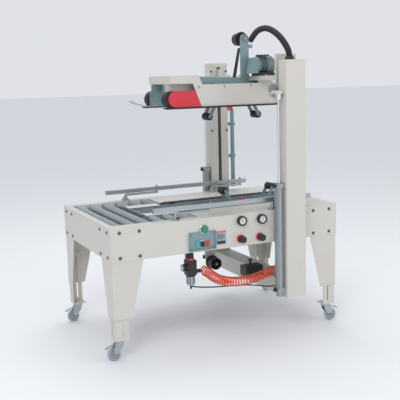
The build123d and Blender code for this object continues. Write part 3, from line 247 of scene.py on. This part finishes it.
def even_points(cord, gap):
    """Points at an even gap along a curve's own line."""
    bare = cord.data.copy()
    bare.bevel_depth = 0
    ghost = bpy.data.objects.new("ghost", bare)
    bpy.context.scene.collection.objects.link(ghost)
    bpy.context.view_layer.update()
    shape = ghost.evaluated_get(bpy.context.evaluated_depsgraph_get()).to_mesh()
    raw = [v.co.copy() for v in shape.vertices]
    bpy.data.objects.remove(ghost)
    total = sum((b - a).length for a, b in zip(raw, raw[1:]))
    count = max(int(round(total / gap)), 2)
    spots = [raw[0]]
    walked = 0.0
    for a, b in zip(raw, raw[1:]):
        run = (b - a).length
        while len(spots) < count and walked + run >= total * len(spots) / count:
            share = (total * len(spots) / count - walked) / run
            spots.append(a.lerp(b, share))
        walked += run
    spots.append(raw[-1])
    return spots


def frames_along(spots):
    """Each spot with two directions across the line, carried along without twist."""
    found = []
    across = None
    for n, spot in enumerate(spots):
        ahead = (spots[min(n + 1, len(spots) - 1)] - spots[max(n - 1, 0)]).normalized()
        if across is None:
            across = ahead.orthogonal().normalized()
        across = (across - across.dot(ahead) * ahead).normalized()
        found.append((spot, across, ahead.cross(across)))
    return found


def ribbed_tube(name, spots, radius_at, sides=28):
    """A closed tube whose radius changes from spot to spot."""
    shape = bmesh.new()
    rings = []
    for n, (spot, first, second) in enumerate(frames_along(spots)):
        ring = []
        for k in range(sides):
            turn = 2 * math.pi * k / sides
            reach = radius_at(n)
            out = math.cos(turn) * first + math.sin(turn) * second
            ring.append(shape.verts.new(spot + reach * out))
        rings.append(ring)
    for a, b in zip(rings, rings[1:]):
        for k in range(sides):
            shape.faces.new((a[k], a[(k + 1) % sides], b[(k + 1) % sides], b[k]))
    shape.faces.new(rings[0][::-1])
    shape.faces.new(rings[-1])
    return finished(name, shape)


def finished(name, shape, smooth_to=SHARP_ANGLE):
    """A mesh object from a bmesh, smooth except at its real edges."""
    mesh = bpy.data.meshes.new(name)
    bmesh.ops.recalc_face_normals(shape, faces=shape.faces)
    shape.to_mesh(mesh)
    shape.free()
    for face in mesh.polygons:
        face.use_smooth = True
    mesh.set_sharp_from_angle(angle=math.radians(smooth_to))
    piece = bpy.data.objects.new(name, mesh)
    bpy.context.scene.collection.objects.link(piece)
    return piece


conduit_line = spline_cord("conduit_line", conduit_route, CONDUIT_RADIUS)
conduit_spots = even_points(conduit_line, RIB_STEP)
bpy.data.objects.remove(conduit_line)
conduit_tube = ribbed_tube("conduit_tube", conduit_spots,
                           lambda n: RIB_PROFILE[n % len(RIB_PROFILE)])
coat_piece(conduit_tube, "black_plastic")
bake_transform(conduit_tube)
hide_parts("conduit")

# ---- Coiled air hose -----------------------------------------------------------------
# An orange polyurethane hose wound in an open helix, hung under the bed from the filter
# outlet to the manifold. Its middle sags, and each end runs straight for a few millimetres
# before it spreads into the winding.
HOSE_RADIUS = 0.0042
WIND_RADIUS = 0.0258
WIND_PITCH = 0.0185
WIND_STEP = 0.0009
END_STRAIGHT = 0.004
END_SPREAD = 0.016
hose_route = [
    (-0.1815, -0.400, 0.440), (-0.157, -0.400, 0.440), (-0.112, -0.391, 0.403),
    (-0.060, -0.378, 0.365), (0.015, -0.367, 0.337), (0.095, -0.362, 0.327),
    (0.180, -0.362, 0.330), (0.255, -0.367, 0.348), (0.315, -0.372, 0.370),
    (0.3575, -0.372, 0.370),
]
hose_line = spline_cord("hose_line", hose_route, 0.03, steps=16)
hose_spots = even_points(hose_line, WIND_STEP)
bpy.data.objects.remove(hose_line)
hose_points = []
hose_frames = frames_along(hose_spots)
for n, (spot, first, second) in enumerate(hose_frames):
    walked = n * WIND_STEP
    left = (len(hose_frames) - 1 - n) * WIND_STEP
    reach = WIND_RADIUS * min(1, max(0, walked - END_STRAIGHT) / END_SPREAD,
                              max(0, left - END_STRAIGHT) / END_SPREAD)
    turn = 2 * math.pi * walked / WIND_PITCH
    hose_points.append(spot + reach * (math.cos(turn) * first + math.sin(turn) * second))
coil = spline_cord("air_hose_coil", hose_points, HOSE_RADIUS, steps=2)
coil.data.bevel_resolution = 3
coat_piece(coil, "orange_hose")
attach(coil, "machine_frame")
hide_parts("coil_hose")
coil_spots = even_points(coil, 0.002)

# ---- Air tube ------------------------------------------------------------------------
# A plain dark 8 mm tube that starts about 11 mm from the filter unit, sags beside the
# coiled hose and ends on the front column's side.
TUBE_RADIUS = 0.004
tube_route = [
    (-0.237, -0.376, 0.352), (-0.215, -0.360, 0.340), (-0.150, -0.340, 0.322),
    (-0.060, -0.326, 0.306), (0.040, -0.320, 0.297), (0.140, -0.324, 0.290),
    (0.220, -0.340, 0.281), (0.285, -0.372, 0.270), (0.3305, -0.372, 0.270),
]
thin_tube = spline_cord("thin_air_tube", tube_route, TUBE_RADIUS)
coat_piece(thin_tube, "blue_hose")
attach(thin_tube, "machine_frame")
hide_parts("air_tube")

# ---- Bed panels, legs and their screws -----------------------------------------------
# Button-head screws hold each leg cover inside the beige panels, four to a face, and a
# washer sits under every head. The screw shapes are used all over the machine.
def lathe(shape, profile, place, out, sides=24):
    """Turns a profile of (radius, height) pairs about an axis."""
    out = Vector(out).normalized()
    first = out.orthogonal().normalized()
    second = out.cross(first)
    rings = []
    for radius, height in profile:
        middle = Vector(place) + height * out
        if radius < 1e-6:
            rings.append([shape.verts.new(middle)] * sides)
            continue
        turns = [2 * math.pi * k / sides for k in range(sides)]
        rings.append([shape.verts.new(middle + radius * (
            math.cos(turn) * first + math.sin(turn) * second)) for turn in turns])
    for a, b in zip(rings, rings[1:]):
        for k in range(sides):
            corners = []
            for vert in (a[k], a[(k + 1) % sides], b[(k + 1) % sides], b[k]):
                if vert not in corners:
                    corners.append(vert)
            if len(corners) > 2:
                shape.faces.new(corners)


WASHER_THICKNESS = 0.0014


def screw(shape, place, out, radius=0.0070):
    """Button head on a washer, with a six-sided socket."""
    lathe(shape, [(radius * 1.45, 0.0), (radius * 1.45, 0.0012), (radius * 1.3, 0.0015),
                  (radius, 0.0015), (radius, 0.0030), (radius * 0.82, 0.0050),
                  (radius * 0.5, 0.0058)], place, out)
    lathe(shape, [(radius * 0.5, 0.0058), (radius * 0.46, 0.0028), (0.0, 0.0028)], place, out, 6)


def hex_head(shape, place, out, across=0.013, tall=0.0055):
    """Hexagon head with a chamfered crown on a round washer."""
    lathe(shape, [(across * 0.82, 0.0), (across * 0.82, WASHER_THICKNESS),
                  (0.0, WASHER_THICKNESS)], place, out)
    raised = Vector(place) + WASHER_THICKNESS * Vector(out).normalized()
    lathe(shape, [(across * 0.577, 0.0), (across * 0.577, tall * 0.82), (across * 0.47, tall),
                  (0.0, tall)], raised, out, 6)


PANEL_SCREW_DROPS = (0.030, 0.168)
SIDE_SCREW_INSETS = (0.053, 0.167)
END_SCREW_INSETS = (0.050, 0.169)
panel_low, panel_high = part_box("bed_panels")
heads = bmesh.new()
for z in [panel_high.z - drop for drop in PANEL_SCREW_DROPS]:
    for end in (-1, 1):
        for inset in SIDE_SCREW_INSETS:
            x = end * (panel_high.x - inset)
            screw(heads, (x, panel_low.y, z), (0, -1, 0))
            screw(heads, (x, panel_high.y, z), (0, 1, 0))
        for inset in END_SCREW_INSETS:
            for across in (-1, 1):
                y = across * (panel_high.y - inset)
                screw(heads, (end * panel_high.x, y, z), (end, 0, 0))
panel_screws = finished("leg_cover_screws", heads)
coat_piece(panel_screws, "mid_steel")
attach(panel_screws, "machine_frame")


def paint_where(node, name, test):
    """Gives another surface to the faces of a CAD node whose middle passes a test."""
    skin = frame["nodes"][node]
    skin.data.materials.append(surfaces[name])
    index = len(skin.data.materials) - 1
    for face in skin.data.polygons:
        if test(face.center):
            face.material_index = index


def rounded_bar(shape, low, high, round_by=0.002, steps=2):
    """A bar between two corners with its edges rounded over."""
    made = bmesh.ops.create_cube(shape, size=1)["verts"]
    for vert in made:
        for k in range(3):
            vert.co[k] = low[k] if vert.co[k] < 0 else high[k]
    edges = list(dict.fromkeys(edge for vert in made for edge in vert.link_edges))
    bmesh.ops.bevel(shape, geom=edges, offset=round_by, segments=steps, affect="EDGES",
                    profile=0.5)


# ---- Casters -------------------------------------------------------------------------
# Grey plastic wheels with a crowned tread, a dished web and a raised hub run on the fork's
# axle. The fork's brake pedal gets four ribs, and a hexagon nut closes each axle end.
BRAKE_RIBS = 4
AXLE_NUT = [(0.0078, 0), (0.0078, 0.0014), (0.0065, 0.0044), (0.0, 0.0044)]
AXLE_NUT_GAP = 0.0004
for corner in ("infeed_front", "outfeed_front", "infeed_rear", "outfeed_rear"):
    wheel_low, wheel_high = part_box("caster_wheel_" + corner)
    hub = (wheel_low + wheel_high) / 2
    half = (wheel_high.y - wheel_low.y) / 2
    rim = (wheel_high.z - wheel_low.z) / 2
    tyre = bmesh.new()
    profile = [(0.0043, half - 0.001), (0.0105, half - 0.001), (0.0120, half - 0.003),
               (0.0130, half * 0.45), (rim * 0.66, half * 0.45), (rim * 0.70, half * 0.82),
               (rim * 0.86, half * 0.96), (rim * 0.95, half * 0.74), (rim * 0.995, half * 0.35),
               (rim, 0.0)]
    mirrored = [(r, -h) for r, h in reversed(profile[:-1])]
    lathe(tyre, profile + mirrored + [profile[0]], hub, (0, 1, 0), 48)
    wheel = finished("wheel_" + corner, tyre, 40)
    coat_piece(wheel, "grey_plastic")
    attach(wheel, "wheel_" + corner)
    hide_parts("caster_wheel_" + corner)
    fork_low, fork_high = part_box("caster_fork_" + corner)
    outward = -1 if hub.x < 0 else 1
    pad = bmesh.new()
    tip = fork_low.x if outward < 0 else fork_high.x
    for n in range(BRAKE_RIBS):
        rib = tip - outward * (0.003 + 0.006 * n)
        rise = 0.0745 + 0.0026 * n
        rounded_bar(pad, (rib - 0.0015, hub.y - 0.008, rise - 0.002),
                    (rib + 0.0015, hub.y + 0.008, rise + 0.0022), 0.0006)
    lathe(pad, AXLE_NUT, (hub.x, fork_low.y - AXLE_NUT_GAP, hub.z), (0, -1, 0), 6)
    lathe(pad, AXLE_NUT, (hub.x, fork_high.y + AXLE_NUT_GAP, hub.z), (0, 1, 0), 6)
    trim = finished("brake_pad_" + corner, pad)
    coat_piece(trim, "zinc")
    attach(trim, "fork_" + corner)

# ---- Columns -------------------------------------------------------------------------
# Two square steel columns, powder-coated beige. A pressed cap closes the rear one, the
# conduit's gland stands in the front one, and rail screws show on the slotted faces.
COLUMN_MIDDLE = 0.3905
COLUMN_HALF_WIDTH = 0.065
COLUMN_INNER_FACE = 0.442
COLUMN_OUTER_FACE = 0.520
RAIL_SCREW_LEVELS = (1.564, 1.165, 0.775)
RAIL_SCREW_OFFSET = 0.056
CAP_GROWTH = 0.0011
CAP_SKIRT = 0.026
CAP_RISE = 0.0015
column_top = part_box("column_frame")[1].z
column_heads = bmesh.new()
for across in (-1, 1):
    for z in RAIL_SCREW_LEVELS:
        for edge in (-RAIL_SCREW_OFFSET, RAIL_SCREW_OFFSET):
            screw(column_heads, (COLUMN_MIDDLE + edge, across * COLUMN_INNER_FACE, z),
                  (0, -across, 0), 0.006)
cap = bmesh.new()
rounded_bar(cap, (COLUMN_MIDDLE - COLUMN_HALF_WIDTH - CAP_GROWTH, COLUMN_INNER_FACE - CAP_GROWTH,
                  column_top - CAP_SKIRT),
            (COLUMN_MIDDLE + COLUMN_HALF_WIDTH + CAP_GROWTH, COLUMN_OUTER_FACE + CAP_GROWTH,
             column_top + CAP_RISE), 0.0009)
column_cap = finished("rear_column_cap", cap)
coat_piece(column_cap, "beige_paint")
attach(column_cap, "machine_frame")
column_screws = finished("column_rail_screws", column_heads)
coat_piece(column_screws, "mid_steel")
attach(column_screws, "machine_frame")
GLAND_PLACE = (0.3775, -0.477, 1.617)
gland = bmesh.new()
lathe(gland, [(0.0193, 0), (0.0275, 0), (0.0275, 0.006), (0.0245, 0.008), (0.0245, 0.017),
              (0.0215, 0.020), (0.0188, 0.020), (0.0188, 0.0)], GLAND_PLACE, (0, 0, 1), 36)
conduit_gland = finished("conduit_gland", gland)
coat_piece(conduit_gland, "black_plastic")
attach(conduit_gland, "machine_frame")

# ---- Grey cable strip on the rear column ---------------------------------------------
# A painted steel trunking strip stands off the outfeed side of the rear column. Two
# saddle clamps hold it, each with one screw.
SADDLE_LEVELS = (0.985, 1.205)
SADDLE_HALF = 0.011
trunk = bmesh.new()
rounded_bar(trunk, (0.482, 0.446, 0.768), (0.507, 0.462, 1.300), 0.003)
for z in SADDLE_LEVELS:
    rounded_bar(trunk, (0.4545, 0.4435, z - SADDLE_HALF), (0.511, 0.4465, z + SADDLE_HALF), 0.0008)
    rounded_bar(trunk, (0.478, 0.4430, z - SADDLE_HALF), (0.4805, 0.465, z + SADDLE_HALF), 0.0006)
    screw(trunk, (0.468, 0.4435, z), (0, -1, 0), 0.0045)
trunking = finished("rear_trunking", trunk)
coat_piece(trunking, "grey_paint")
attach(trunking, "machine_frame")

# ---- Lift cylinders ------------------------------------------------------------------
# Satin aluminium barrels stand between square end caps. Four tie rods run through the
# caps to a nut on each, and a black push-in elbow feeds each end.
CYLINDER_X = 0.2995
CYLINDER_Y = 0.478
TIE_OFFSET = 0.0175
TIE_RADIUS = 0.003
TIE_FOOT, TIE_TOP, TIE_NUT = 0.2885, 0.8870, 0.912
PORT_LEVELS = (0.277, 0.898)
for across in (-1, 1):
    rod_y = across * CYLINDER_Y
    ties = bmesh.new()
    for dx in (-TIE_OFFSET, TIE_OFFSET):
        for dy in (-TIE_OFFSET, TIE_OFFSET):
            lathe(ties, [(TIE_RADIUS, TIE_FOOT), (TIE_RADIUS, TIE_TOP)],
                  (CYLINDER_X + dx, rod_y + dy, 0), (0, 0, 1), 10)
            hex_head(ties, (CYLINDER_X + dx, rod_y + dy, TIE_NUT), (0, 0, 1), 0.0075, 0.004)
    tie_rods = finished("tie_rods_front" if across < 0 else "tie_rods_rear", ties)
    coat_piece(tie_rods, "zinc")
    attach(tie_rods, "machine_frame")
    fittings = bmesh.new()
    for z in PORT_LEVELS:
        lathe(fittings, [(0.0, 0.0), (0.0085, 0.0), (0.0085, 0.008), (0.0065, 0.0095),
                         (0.0065, 0.020), (0.0, 0.020)], (CYLINDER_X - 0.023, rod_y, z),
              (-1, 0, 0), 20)
        lathe(fittings, [(0.0, -0.007), (0.0062, -0.007), (0.0062, 0.016), (0.0048, 0.018),
                         (0.0, 0.018)], (CYLINDER_X - 0.037, rod_y, z), (0, 0, 1), 20)
    elbows = finished("air_elbows_front" if across < 0 else "air_elbows_rear", fittings)
    coat_piece(elbows, "black_plastic")
    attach(elbows, "machine_frame")

# ---- Lift rods and carriages ---------------------------------------------------------
# The chromed rods, the clevis blocks and the round boss are bare metal, and the plates
# and cross member are painted beige. Zinc hexagon heads fix each plate.
ROD_REACH = 0.0165
ROD_END = 1.43
BOSS_X, BOSS_Z = 0.2975, 1.457
paint_where("head_carriages", "chrome",
            lambda c: abs(c.x - CYLINDER_X) < ROD_REACH
            and abs(abs(c.y) - CYLINDER_Y) < ROD_REACH and c.z < ROD_END)
paint_where("head_carriages", "zinc",
            lambda c: math.hypot(c.x - BOSS_X, c.z - BOSS_Z) < 0.0255
            and 0.395 < abs(c.y) < 0.4285)
carriage_heads = bmesh.new()
for across in (-1, 1):
    for x in (0.338, 0.452):
        for z in (1.437, 1.505) if across > 0 else (1.437, 1.545, 1.628):
            hex_head(carriage_heads, (x, across * 0.400, z), (0, -across, 0), 0.013, 0.006)
    for x in (0.362, 0.445):
        hex_head(carriage_heads, (x, across * 0.24, 1.530), (0, 0, 1), 0.013, 0.006)
carriage_bolts = finished("carriage_bolts", carriage_heads)
coat_piece(carriage_bolts, "zinc")
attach(carriage_bolts, "head")

# ---- Tape mast and its hub -----------------------------------------------------------
# A grey-blue steel plate with a round head stands on tapered beams. A hexagon nut and, on
# the far side, a stepped nut hold the core hub's spindle, with bolts at the foot.
SPINDLE_X, SPINDLE_Z = 0.3125, 1.754
BEAM_BOLT_LEVEL = 1.502
paint_where("head_mast", "dark_steel", lambda c: -0.0625 < c.y < -0.0575 and c.x < 0.29)
mast_heads = bmesh.new()
hex_head(mast_heads, (SPINDLE_X, -0.076, SPINDLE_Z), (0, -1, 0), 0.019, 0.010)
for x in (0.045, 0.082, 0.168, 0.405):
    hex_head(mast_heads, (x, -0.072, BEAM_BOLT_LEVEL), (0, -1, 0), 0.012, 0.005)
    hex_head(mast_heads, (x, 0.072, BEAM_BOLT_LEVEL), (0, 1, 0), 0.012, 0.005)
for y, z in ((-0.072, 1.512), (-0.068, 1.545)):
    hex_head(mast_heads, (SPINDLE_X, y, z), (0, -1, 0), 0.012, 0.005)
lathe(mast_heads, [(0.0, 0.0), (0.012, 0.0), (0.012, 0.004), (0.0075, 0.0055), (0.0075, 0.013),
                   (0.005, 0.015), (0.0, 0.015)], (SPINDLE_X, 0.036, SPINDLE_Z), (0, 1, 0), 24)
mast_nuts = finished("mast_nuts", mast_heads)
coat_piece(mast_nuts, "zinc")
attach(mast_nuts, "head")

# ---- Head motor ----------------------------------------------------------------------
# A grey-blue motor on a black foot, with dark cooling ribs round its middle. Four screws
# close the terminal box, and a cable gland stands at its side.
MOTOR_Y, MOTOR_Z = -0.15, 1.592
paint_where("head_motor", "dark_steel",
            lambda c: 0.356 < c.x < 0.405 and abs(c.y - MOTOR_Y) < 0.0535
            and 0.0488 < math.hypot(c.y - MOTOR_Y, c.z - MOTOR_Z))
paint_where("head_motor", "black_plastic", lambda c: c.z < 1.5485 and c.x > 0.336)
box_heads = bmesh.new()
for x in (0.368, 0.416):
    for y in (-0.172, -0.128):
        screw(box_heads, (x, y, 1.654), (0, 0, 1), 0.0032)
lathe(box_heads, [(0.0, 0.0), (0.009, 0.0), (0.009, 0.006), (0.007, 0.008), (0.007, 0.014),
                  (0.0, 0.014)], (0.4245, MOTOR_Y, 1.643), (1, 0, 0), 6)
terminal_screws = finished("terminal_box_screws", box_heads)
coat_piece(terminal_screws, "zinc")
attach(terminal_screws, "head")

# ---- Upper belt unit -----------------------------------------------------------------
# Grey-blue bearing plates sit on four bolts beside the black front pulleys. A red blade
# guard hangs between the tape arms, and screws hold the covers' lower edge.
HEAD_PULLEY_X, HEAD_PULLEY_Z = -0.2175, 1.403
HEAD_PULLEY_RADIUS = 0.0462
paint_where("upper_belt_unit", "grey_paint",
            lambda c: -0.2540 < c.x < -0.1610 and 1.367 < c.z < 1.4515
            and 0.1015 < abs(c.y) < 0.1065)
paint_where("upper_belt_unit", "red_paint",
            lambda c: 0.2215 < c.x < 0.2485 and abs(c.y) < 0.0305 and c.z < 1.383)
paint_where("slide_rails", "zinc", lambda c: abs(c.y) < 0.0305)
paint_where("upper_belt_unit", "black_rubber",
            lambda c: math.hypot(c.x - HEAD_PULLEY_X, c.z - HEAD_PULLEY_Z) < HEAD_PULLEY_RADIUS
            and 0.1085 < abs(c.y) < 0.1615)
bearing_heads = bmesh.new()
for across in (-1, 1):
    for x in (-0.243, -0.172):
        for z in (1.378, 1.431):
            hex_head(bearing_heads, (x, across * 0.102, z), (0, -across, 0), 0.010, 0.005)
    for x in (-0.05, 0.12, 0.30, 0.47):
        screw(bearing_heads, (x, across * 0.165, 1.474), (0, across, 0), 0.004)
bearing_bolts = finished("bearing_bolts", bearing_heads)
coat_piece(bearing_bolts, "zinc")
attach(bearing_bolts, "head")

# ---- Lower belt unit and tape head ---------------------------------------------------
# Pale nose plates over dark end pins, and a beige bracket behind the core hub. A red
# folded guard covers the blade between the lower tape arms.
NOSE_PIN_X, NOSE_PIN_Z = -0.4345, 0.738
paint_where("lower_belt_unit", "white_card", lambda c: c.x < -0.19 and c.z > 0.7455)
paint_where("lower_belt_unit", "dark_steel",
            lambda c: math.hypot(c.x - NOSE_PIN_X, c.z - NOSE_PIN_Z) < 0.0145)
paint_where("lower_belt_unit", "beige_paint", lambda c: abs(c.y - 0.0615) < 0.003 and c.z < 0.641)
shield = bmesh.new()
for low_x, high_x, low_z, high_z in ((0.302, 0.3045, 0.716, 0.766),
                                     (0.302, 0.318, 0.7635, 0.766),
                                     (0.3155, 0.318, 0.756, 0.766)):
    rounded_bar(shield, (low_x, -0.026, low_z), (high_x, 0.026, high_z), 0.0007)
blade_shield = finished("lower_blade_shield", shield)
coat_piece(blade_shield, "red_paint")
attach(blade_shield, "machine_frame")

# ---- Controls ------------------------------------------------------------------------
# A grey-blue plate with a teal lamp and two rockers, a green button in a chromed collar,
# a label of plain rules, two pressure gauges, and two regulator knobs on red rings.
BED_HALF = 0.7275
BUTTON_STATION, BUTTON_LEVEL = 0.553, 0.690
FRONT = panel_low.y


def at(station, z, out=0.0):
    """A place on the front panel, from the infeed end of the bed."""
    return (station - BED_HALF, FRONT - out, z)


def on_gauges(spot):
    """The gauges are the only part of the control panel this far along."""
    return spot.x > -0.01


def flat_mark(shape, middle, degrees, corners):
    """One flat dial mark through corners of (radial, sideways) distances."""
    turn = math.radians(degrees)
    radial = Vector((math.cos(turn), 0, math.sin(turn)))
    sideways = Vector((-math.sin(turn), 0, math.cos(turn)))
    shape.faces.new([shape.verts.new(middle + a * radial + b * sideways) for a, b in corners])


paint_where("control_panel", "lens",
            lambda c: c.y < FRONT - 0.0065 and -0.2315 < c.x < -0.2 and 0.587 < c.z < 0.627)
paint_where("control_panel", "grey_plastic", lambda c: -0.098 < c.x < -0.033 and c.z < 0.668)
paint_where("control_panel", "black_plastic", on_gauges)
for knob in ("lift_pressure_knob", "press_pressure_knob"):
    paint_where(knob, "red_plastic", lambda c: c.y > FRONT - 0.0125)
collar = bmesh.new()
lathe(collar, [(0.0206, 0.0), (0.0206, 0.0085), (0.0225, 0.0095), (0.0262, 0.0070),
               (0.0270, 0.0), (0.0206, 0.0)], at(BUTTON_STATION, BUTTON_LEVEL), (0, -1, 0), 40)
button_collar = finished("button_collar", collar)
coat_piece(button_collar, "chrome")
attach(button_collar, "machine_frame")
TICKS = 20
TICKS_PER_NUMBER = 5
DIAL_START, DIAL_SWEEP = -225, 270
NEEDLE_ANGLE = {"lift": 120, "press": 75}
gauge_places = [vert.co.copy() for vert in frame["nodes"]["control_panel"].data.vertices
                if on_gauges(vert.co)]
split = sum(c.x for c in gauge_places) / len(gauge_places)
for name, group in (("lift", [c for c in gauge_places if c.x < split]),
                    ("press", [c for c in gauge_places if c.x >= split])):
    middle_x = (min(c.x for c in group) + max(c.x for c in group)) / 2
    middle_z = (min(c.z for c in group) + max(c.z for c in group)) / 2
    face_y = FRONT - 0.0203
    dial = bmesh.new()
    lathe(dial, [(0.0205, 0.0), (0.0205, 0.0006), (0.0, 0.0006)],
          (middle_x, face_y, middle_z), (0, -1, 0), 48)
    dial_face = finished(name + "_gauge_dial", dial)
    coat_piece(dial_face, "white_card")
    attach(dial_face, "machine_frame")
    marks = bmesh.new()
    tick_middle = Vector((middle_x, face_y - 0.0008, middle_z))
    for n in range(TICKS + 1):
        long_tick = n % TICKS_PER_NUMBER == 0
        inner, outer = (0.0140 if long_tick else 0.0162, 0.0184)
        wide = 0.0008 if long_tick else 0.0004
        flat_mark(marks, tick_middle, DIAL_START + DIAL_SWEEP * n / TICKS,
                  ((inner, -wide), (outer, -wide), (outer, wide), (inner, wide)))
    flat_mark(marks, Vector((middle_x, face_y - 0.0016, middle_z)), NEEDLE_ANGLE[name],
              ((-0.005, -0.0014), (0.0160, -0.0004), (0.0160, 0.0004), (-0.005, 0.0014)))
    lathe(marks, [(0.0198, 0.0), (0.0205, 0.0030), (0.0225, 0.0052), (0.0262, 0.0052),
                  (0.0283, 0.0030), (0.0286, -0.0160)], (middle_x, face_y, middle_z),
          (0, -1, 0), 48)
    lathe(marks, [(0.0026, 0.0), (0.0026, 0.0014), (0.0, 0.0018)], tick_middle, (0, -1, 0), 16)
    dial_marks = finished(name + "_gauge_marks", marks)
    coat_piece(dial_marks, "black_plastic")
    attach(dial_marks, "machine_frame")
RIM_LEFT, RIM_RIGHT = -0.2685, -0.1035
RIM_FOOT, RIM_TOP = 0.571, 0.675
RIM_DEPTH = 0.0155
wings = bmesh.new()
for x_low, x_high in ((RIM_LEFT, -0.2635), (-0.1085, RIM_RIGHT)):
    rounded_bar(wings, (x_low, FRONT - RIM_DEPTH, RIM_FOOT), (x_high, FRONT - 0.0005, RIM_TOP),
                0.0012)
rounded_bar(wings, (RIM_LEFT, FRONT - RIM_DEPTH, RIM_FOOT), (RIM_RIGHT, FRONT - 0.0005, 0.5755),
            0.0012)
for x in (-0.255, -0.117):
    for z in (0.584, 0.662):
        screw(wings, (x, FRONT - 0.006, z), (0, -1, 0), 0.003)
control_rim = finished("control_plate_rim", wings)
coat_piece(control_rim, "grey_paint")
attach(control_rim, "machine_frame")
banner = bmesh.new()
rounded_bar(banner, (-0.0955, FRONT - 0.0014, 0.655), (-0.0355, FRONT - 0.0006, 0.6645),
            0.0002, 1)
label_banner = finished("label_banner", banner)
coat_piece(label_banner, "orange_hose")
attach(label_banner, "machine_frame")
RULE_LEFT = -0.0915
label_rule = bmesh.new()
for z_low, z_high, length in ((0.640, 0.6445, 0.044), (0.630, 0.6345, 0.050),
                              (0.620, 0.6245, 0.038), (0.590, 0.608, 0.052)):
    rounded_bar(label_rule, (RULE_LEFT, FRONT - 0.0013, z_low),
                (RULE_LEFT + length, FRONT - 0.0006, z_high), 0.0002, 1)
label_lines = finished("label_rules", label_rule)
coat_piece(label_lines, "dark_steel")
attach(label_lines, "machine_frame")

# ---- Filter-regulator and valve ------------------------------------------------------
# A black moulded body with a red lock ring under the knob, a pale bowl and a side gauge.
# Slim ribs guard the bowl and grip the knob. The manifold at the other end is bare metal.
UNIT_X, UNIT_Y = -0.2435, -0.400
SIDE_GAUGE_LEVEL = 0.470


def ring_of_ribs(shape, count, reach, profile, sides, start=0.0):
    """Upright ribs in a ring about the filter-regulator's axis."""
    for n in range(count):
        turn = 2 * math.pi * n / count + start
        centre = (UNIT_X + reach * math.cos(turn), UNIT_Y + reach * math.sin(turn), 0)
        lathe(shape, profile, centre, (0, 0, 1), sides)


def near_unit(spot, reach, low_z, high_z):
    """Whether a spot is within a square column about the filter-regulator's axis."""
    return abs(spot.x - UNIT_X) < reach and abs(spot.y - UNIT_Y) < reach and low_z < spot.z < high_z


paint_where("air_units", "grey_plastic", lambda c: near_unit(c, 0.026, 0.3615, 0.4245))
paint_where("air_units", "red_plastic", lambda c: near_unit(c, 0.0225, 0.5105, 0.5225))
paint_where("air_units", "zinc", lambda c: 0.355 < c.x < 0.40 and c.y < -0.33)
paint_where("air_units", "beige_paint",
            lambda c: c.y > UNIT_Y + 0.0255 and c.x < -0.2 and c.z > 0.468)
bowl = bmesh.new()
ring_of_ribs(bowl, 8, 0.0235, [(0.0, 0.374), (0.0022, 0.375), (0.0022, 0.424), (0.0, 0.424)], 8,
             start=0.2)
lathe(bowl, [(0.0242, 0.416), (0.0268, 0.417), (0.0268, 0.4235), (0.0242, 0.4245)],
      (UNIT_X, UNIT_Y, 0), (0, 0, 1), 36)
ring_of_ribs(bowl, 18, 0.0188, [(0.0, 0.5235), (0.0013, 0.524), (0.0013, 0.546), (0.0, 0.5465)], 6)
bowl_guard = finished("bowl_guard_and_knob_ribs", bowl)
coat_piece(bowl_guard, "black_plastic")
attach(bowl_guard, "machine_frame")
side_dial = bmesh.new()
lathe(side_dial, [(0.0172, 0.0), (0.0172, 0.0006), (0.0, 0.0006)],
      (UNIT_X - 0.0503, UNIT_Y, SIDE_GAUGE_LEVEL), (-1, 0, 0), 36)
side_face = finished("side_gauge_dial", side_dial)
coat_piece(side_face, "white_card")
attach(side_face, "machine_frame")
bezel = bmesh.new()
lathe(bezel, [(0.0175, 0.0), (0.0175, 0.0025), (0.0203, 0.0025), (0.0206, 0.0), (0.0206, -0.014)],
      (UNIT_X - 0.050, UNIT_Y, SIDE_GAUGE_LEVEL), (-1, 0, 0), 36)
side_bezel = finished("side_gauge_bezel", bezel)
coat_piece(side_bezel, "black_plastic")
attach(side_bezel, "machine_frame")

# ---- Side guides ---------------------------------------------------------------------
# Bright zinc rails on round arms. Each clamp base has four screws and a black locking
# knob, and hexagon nuts hold the rail on its pins.
BASE_STATIONS = (0.400, 1.028)
PIN_STATIONS = (0.620, 1.248)
GUIDE_Y = 0.402
BASE_SCREW_OFFSET = 0.016
rail_heads = bmesh.new()
clamp_levers = bmesh.new()
for across in (-1, 1):
    for station in BASE_STATIONS:
        x = station - BED_HALF
        y = across * GUIDE_Y
        for dx in (-BASE_SCREW_OFFSET, BASE_SCREW_OFFSET):
            for dy in (-BASE_SCREW_OFFSET, BASE_SCREW_OFFSET):
                screw(rail_heads, (x + dx, y + dy, 0.755), (0, 0, 1), 0.0030)
        lathe(clamp_levers, [(0.0, 0.012), (0.0042, 0.012), (0.0042, 0.026), (0.0065, 0.028),
                             (0.0065, 0.036), (0.0, 0.037)], (x, y, 0.763), (0, across, 0), 16)
clamp_screws = finished("clamp_base_screws", rail_heads)
coat_piece(clamp_screws, "zinc")
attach(clamp_screws, "machine_frame")
clamp_knobs = finished("clamp_knobs", clamp_levers)
coat_piece(clamp_knobs, "black_plastic")
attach(clamp_knobs, "machine_frame")
for side_name, across in (("front", -1), ("rear", 1)):
    nuts = bmesh.new()
    for station in PIN_STATIONS:
        hex_head(nuts, (station - BED_HALF, across * GUIDE_Y, 0.824), (0, 0, 1), 0.012, 0.006)
    rail_nuts = finished(side_name + "_rail_nuts", nuts)
    coat_piece(rail_nuts, "zinc")
    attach(rail_nuts, side_name + "_rail")
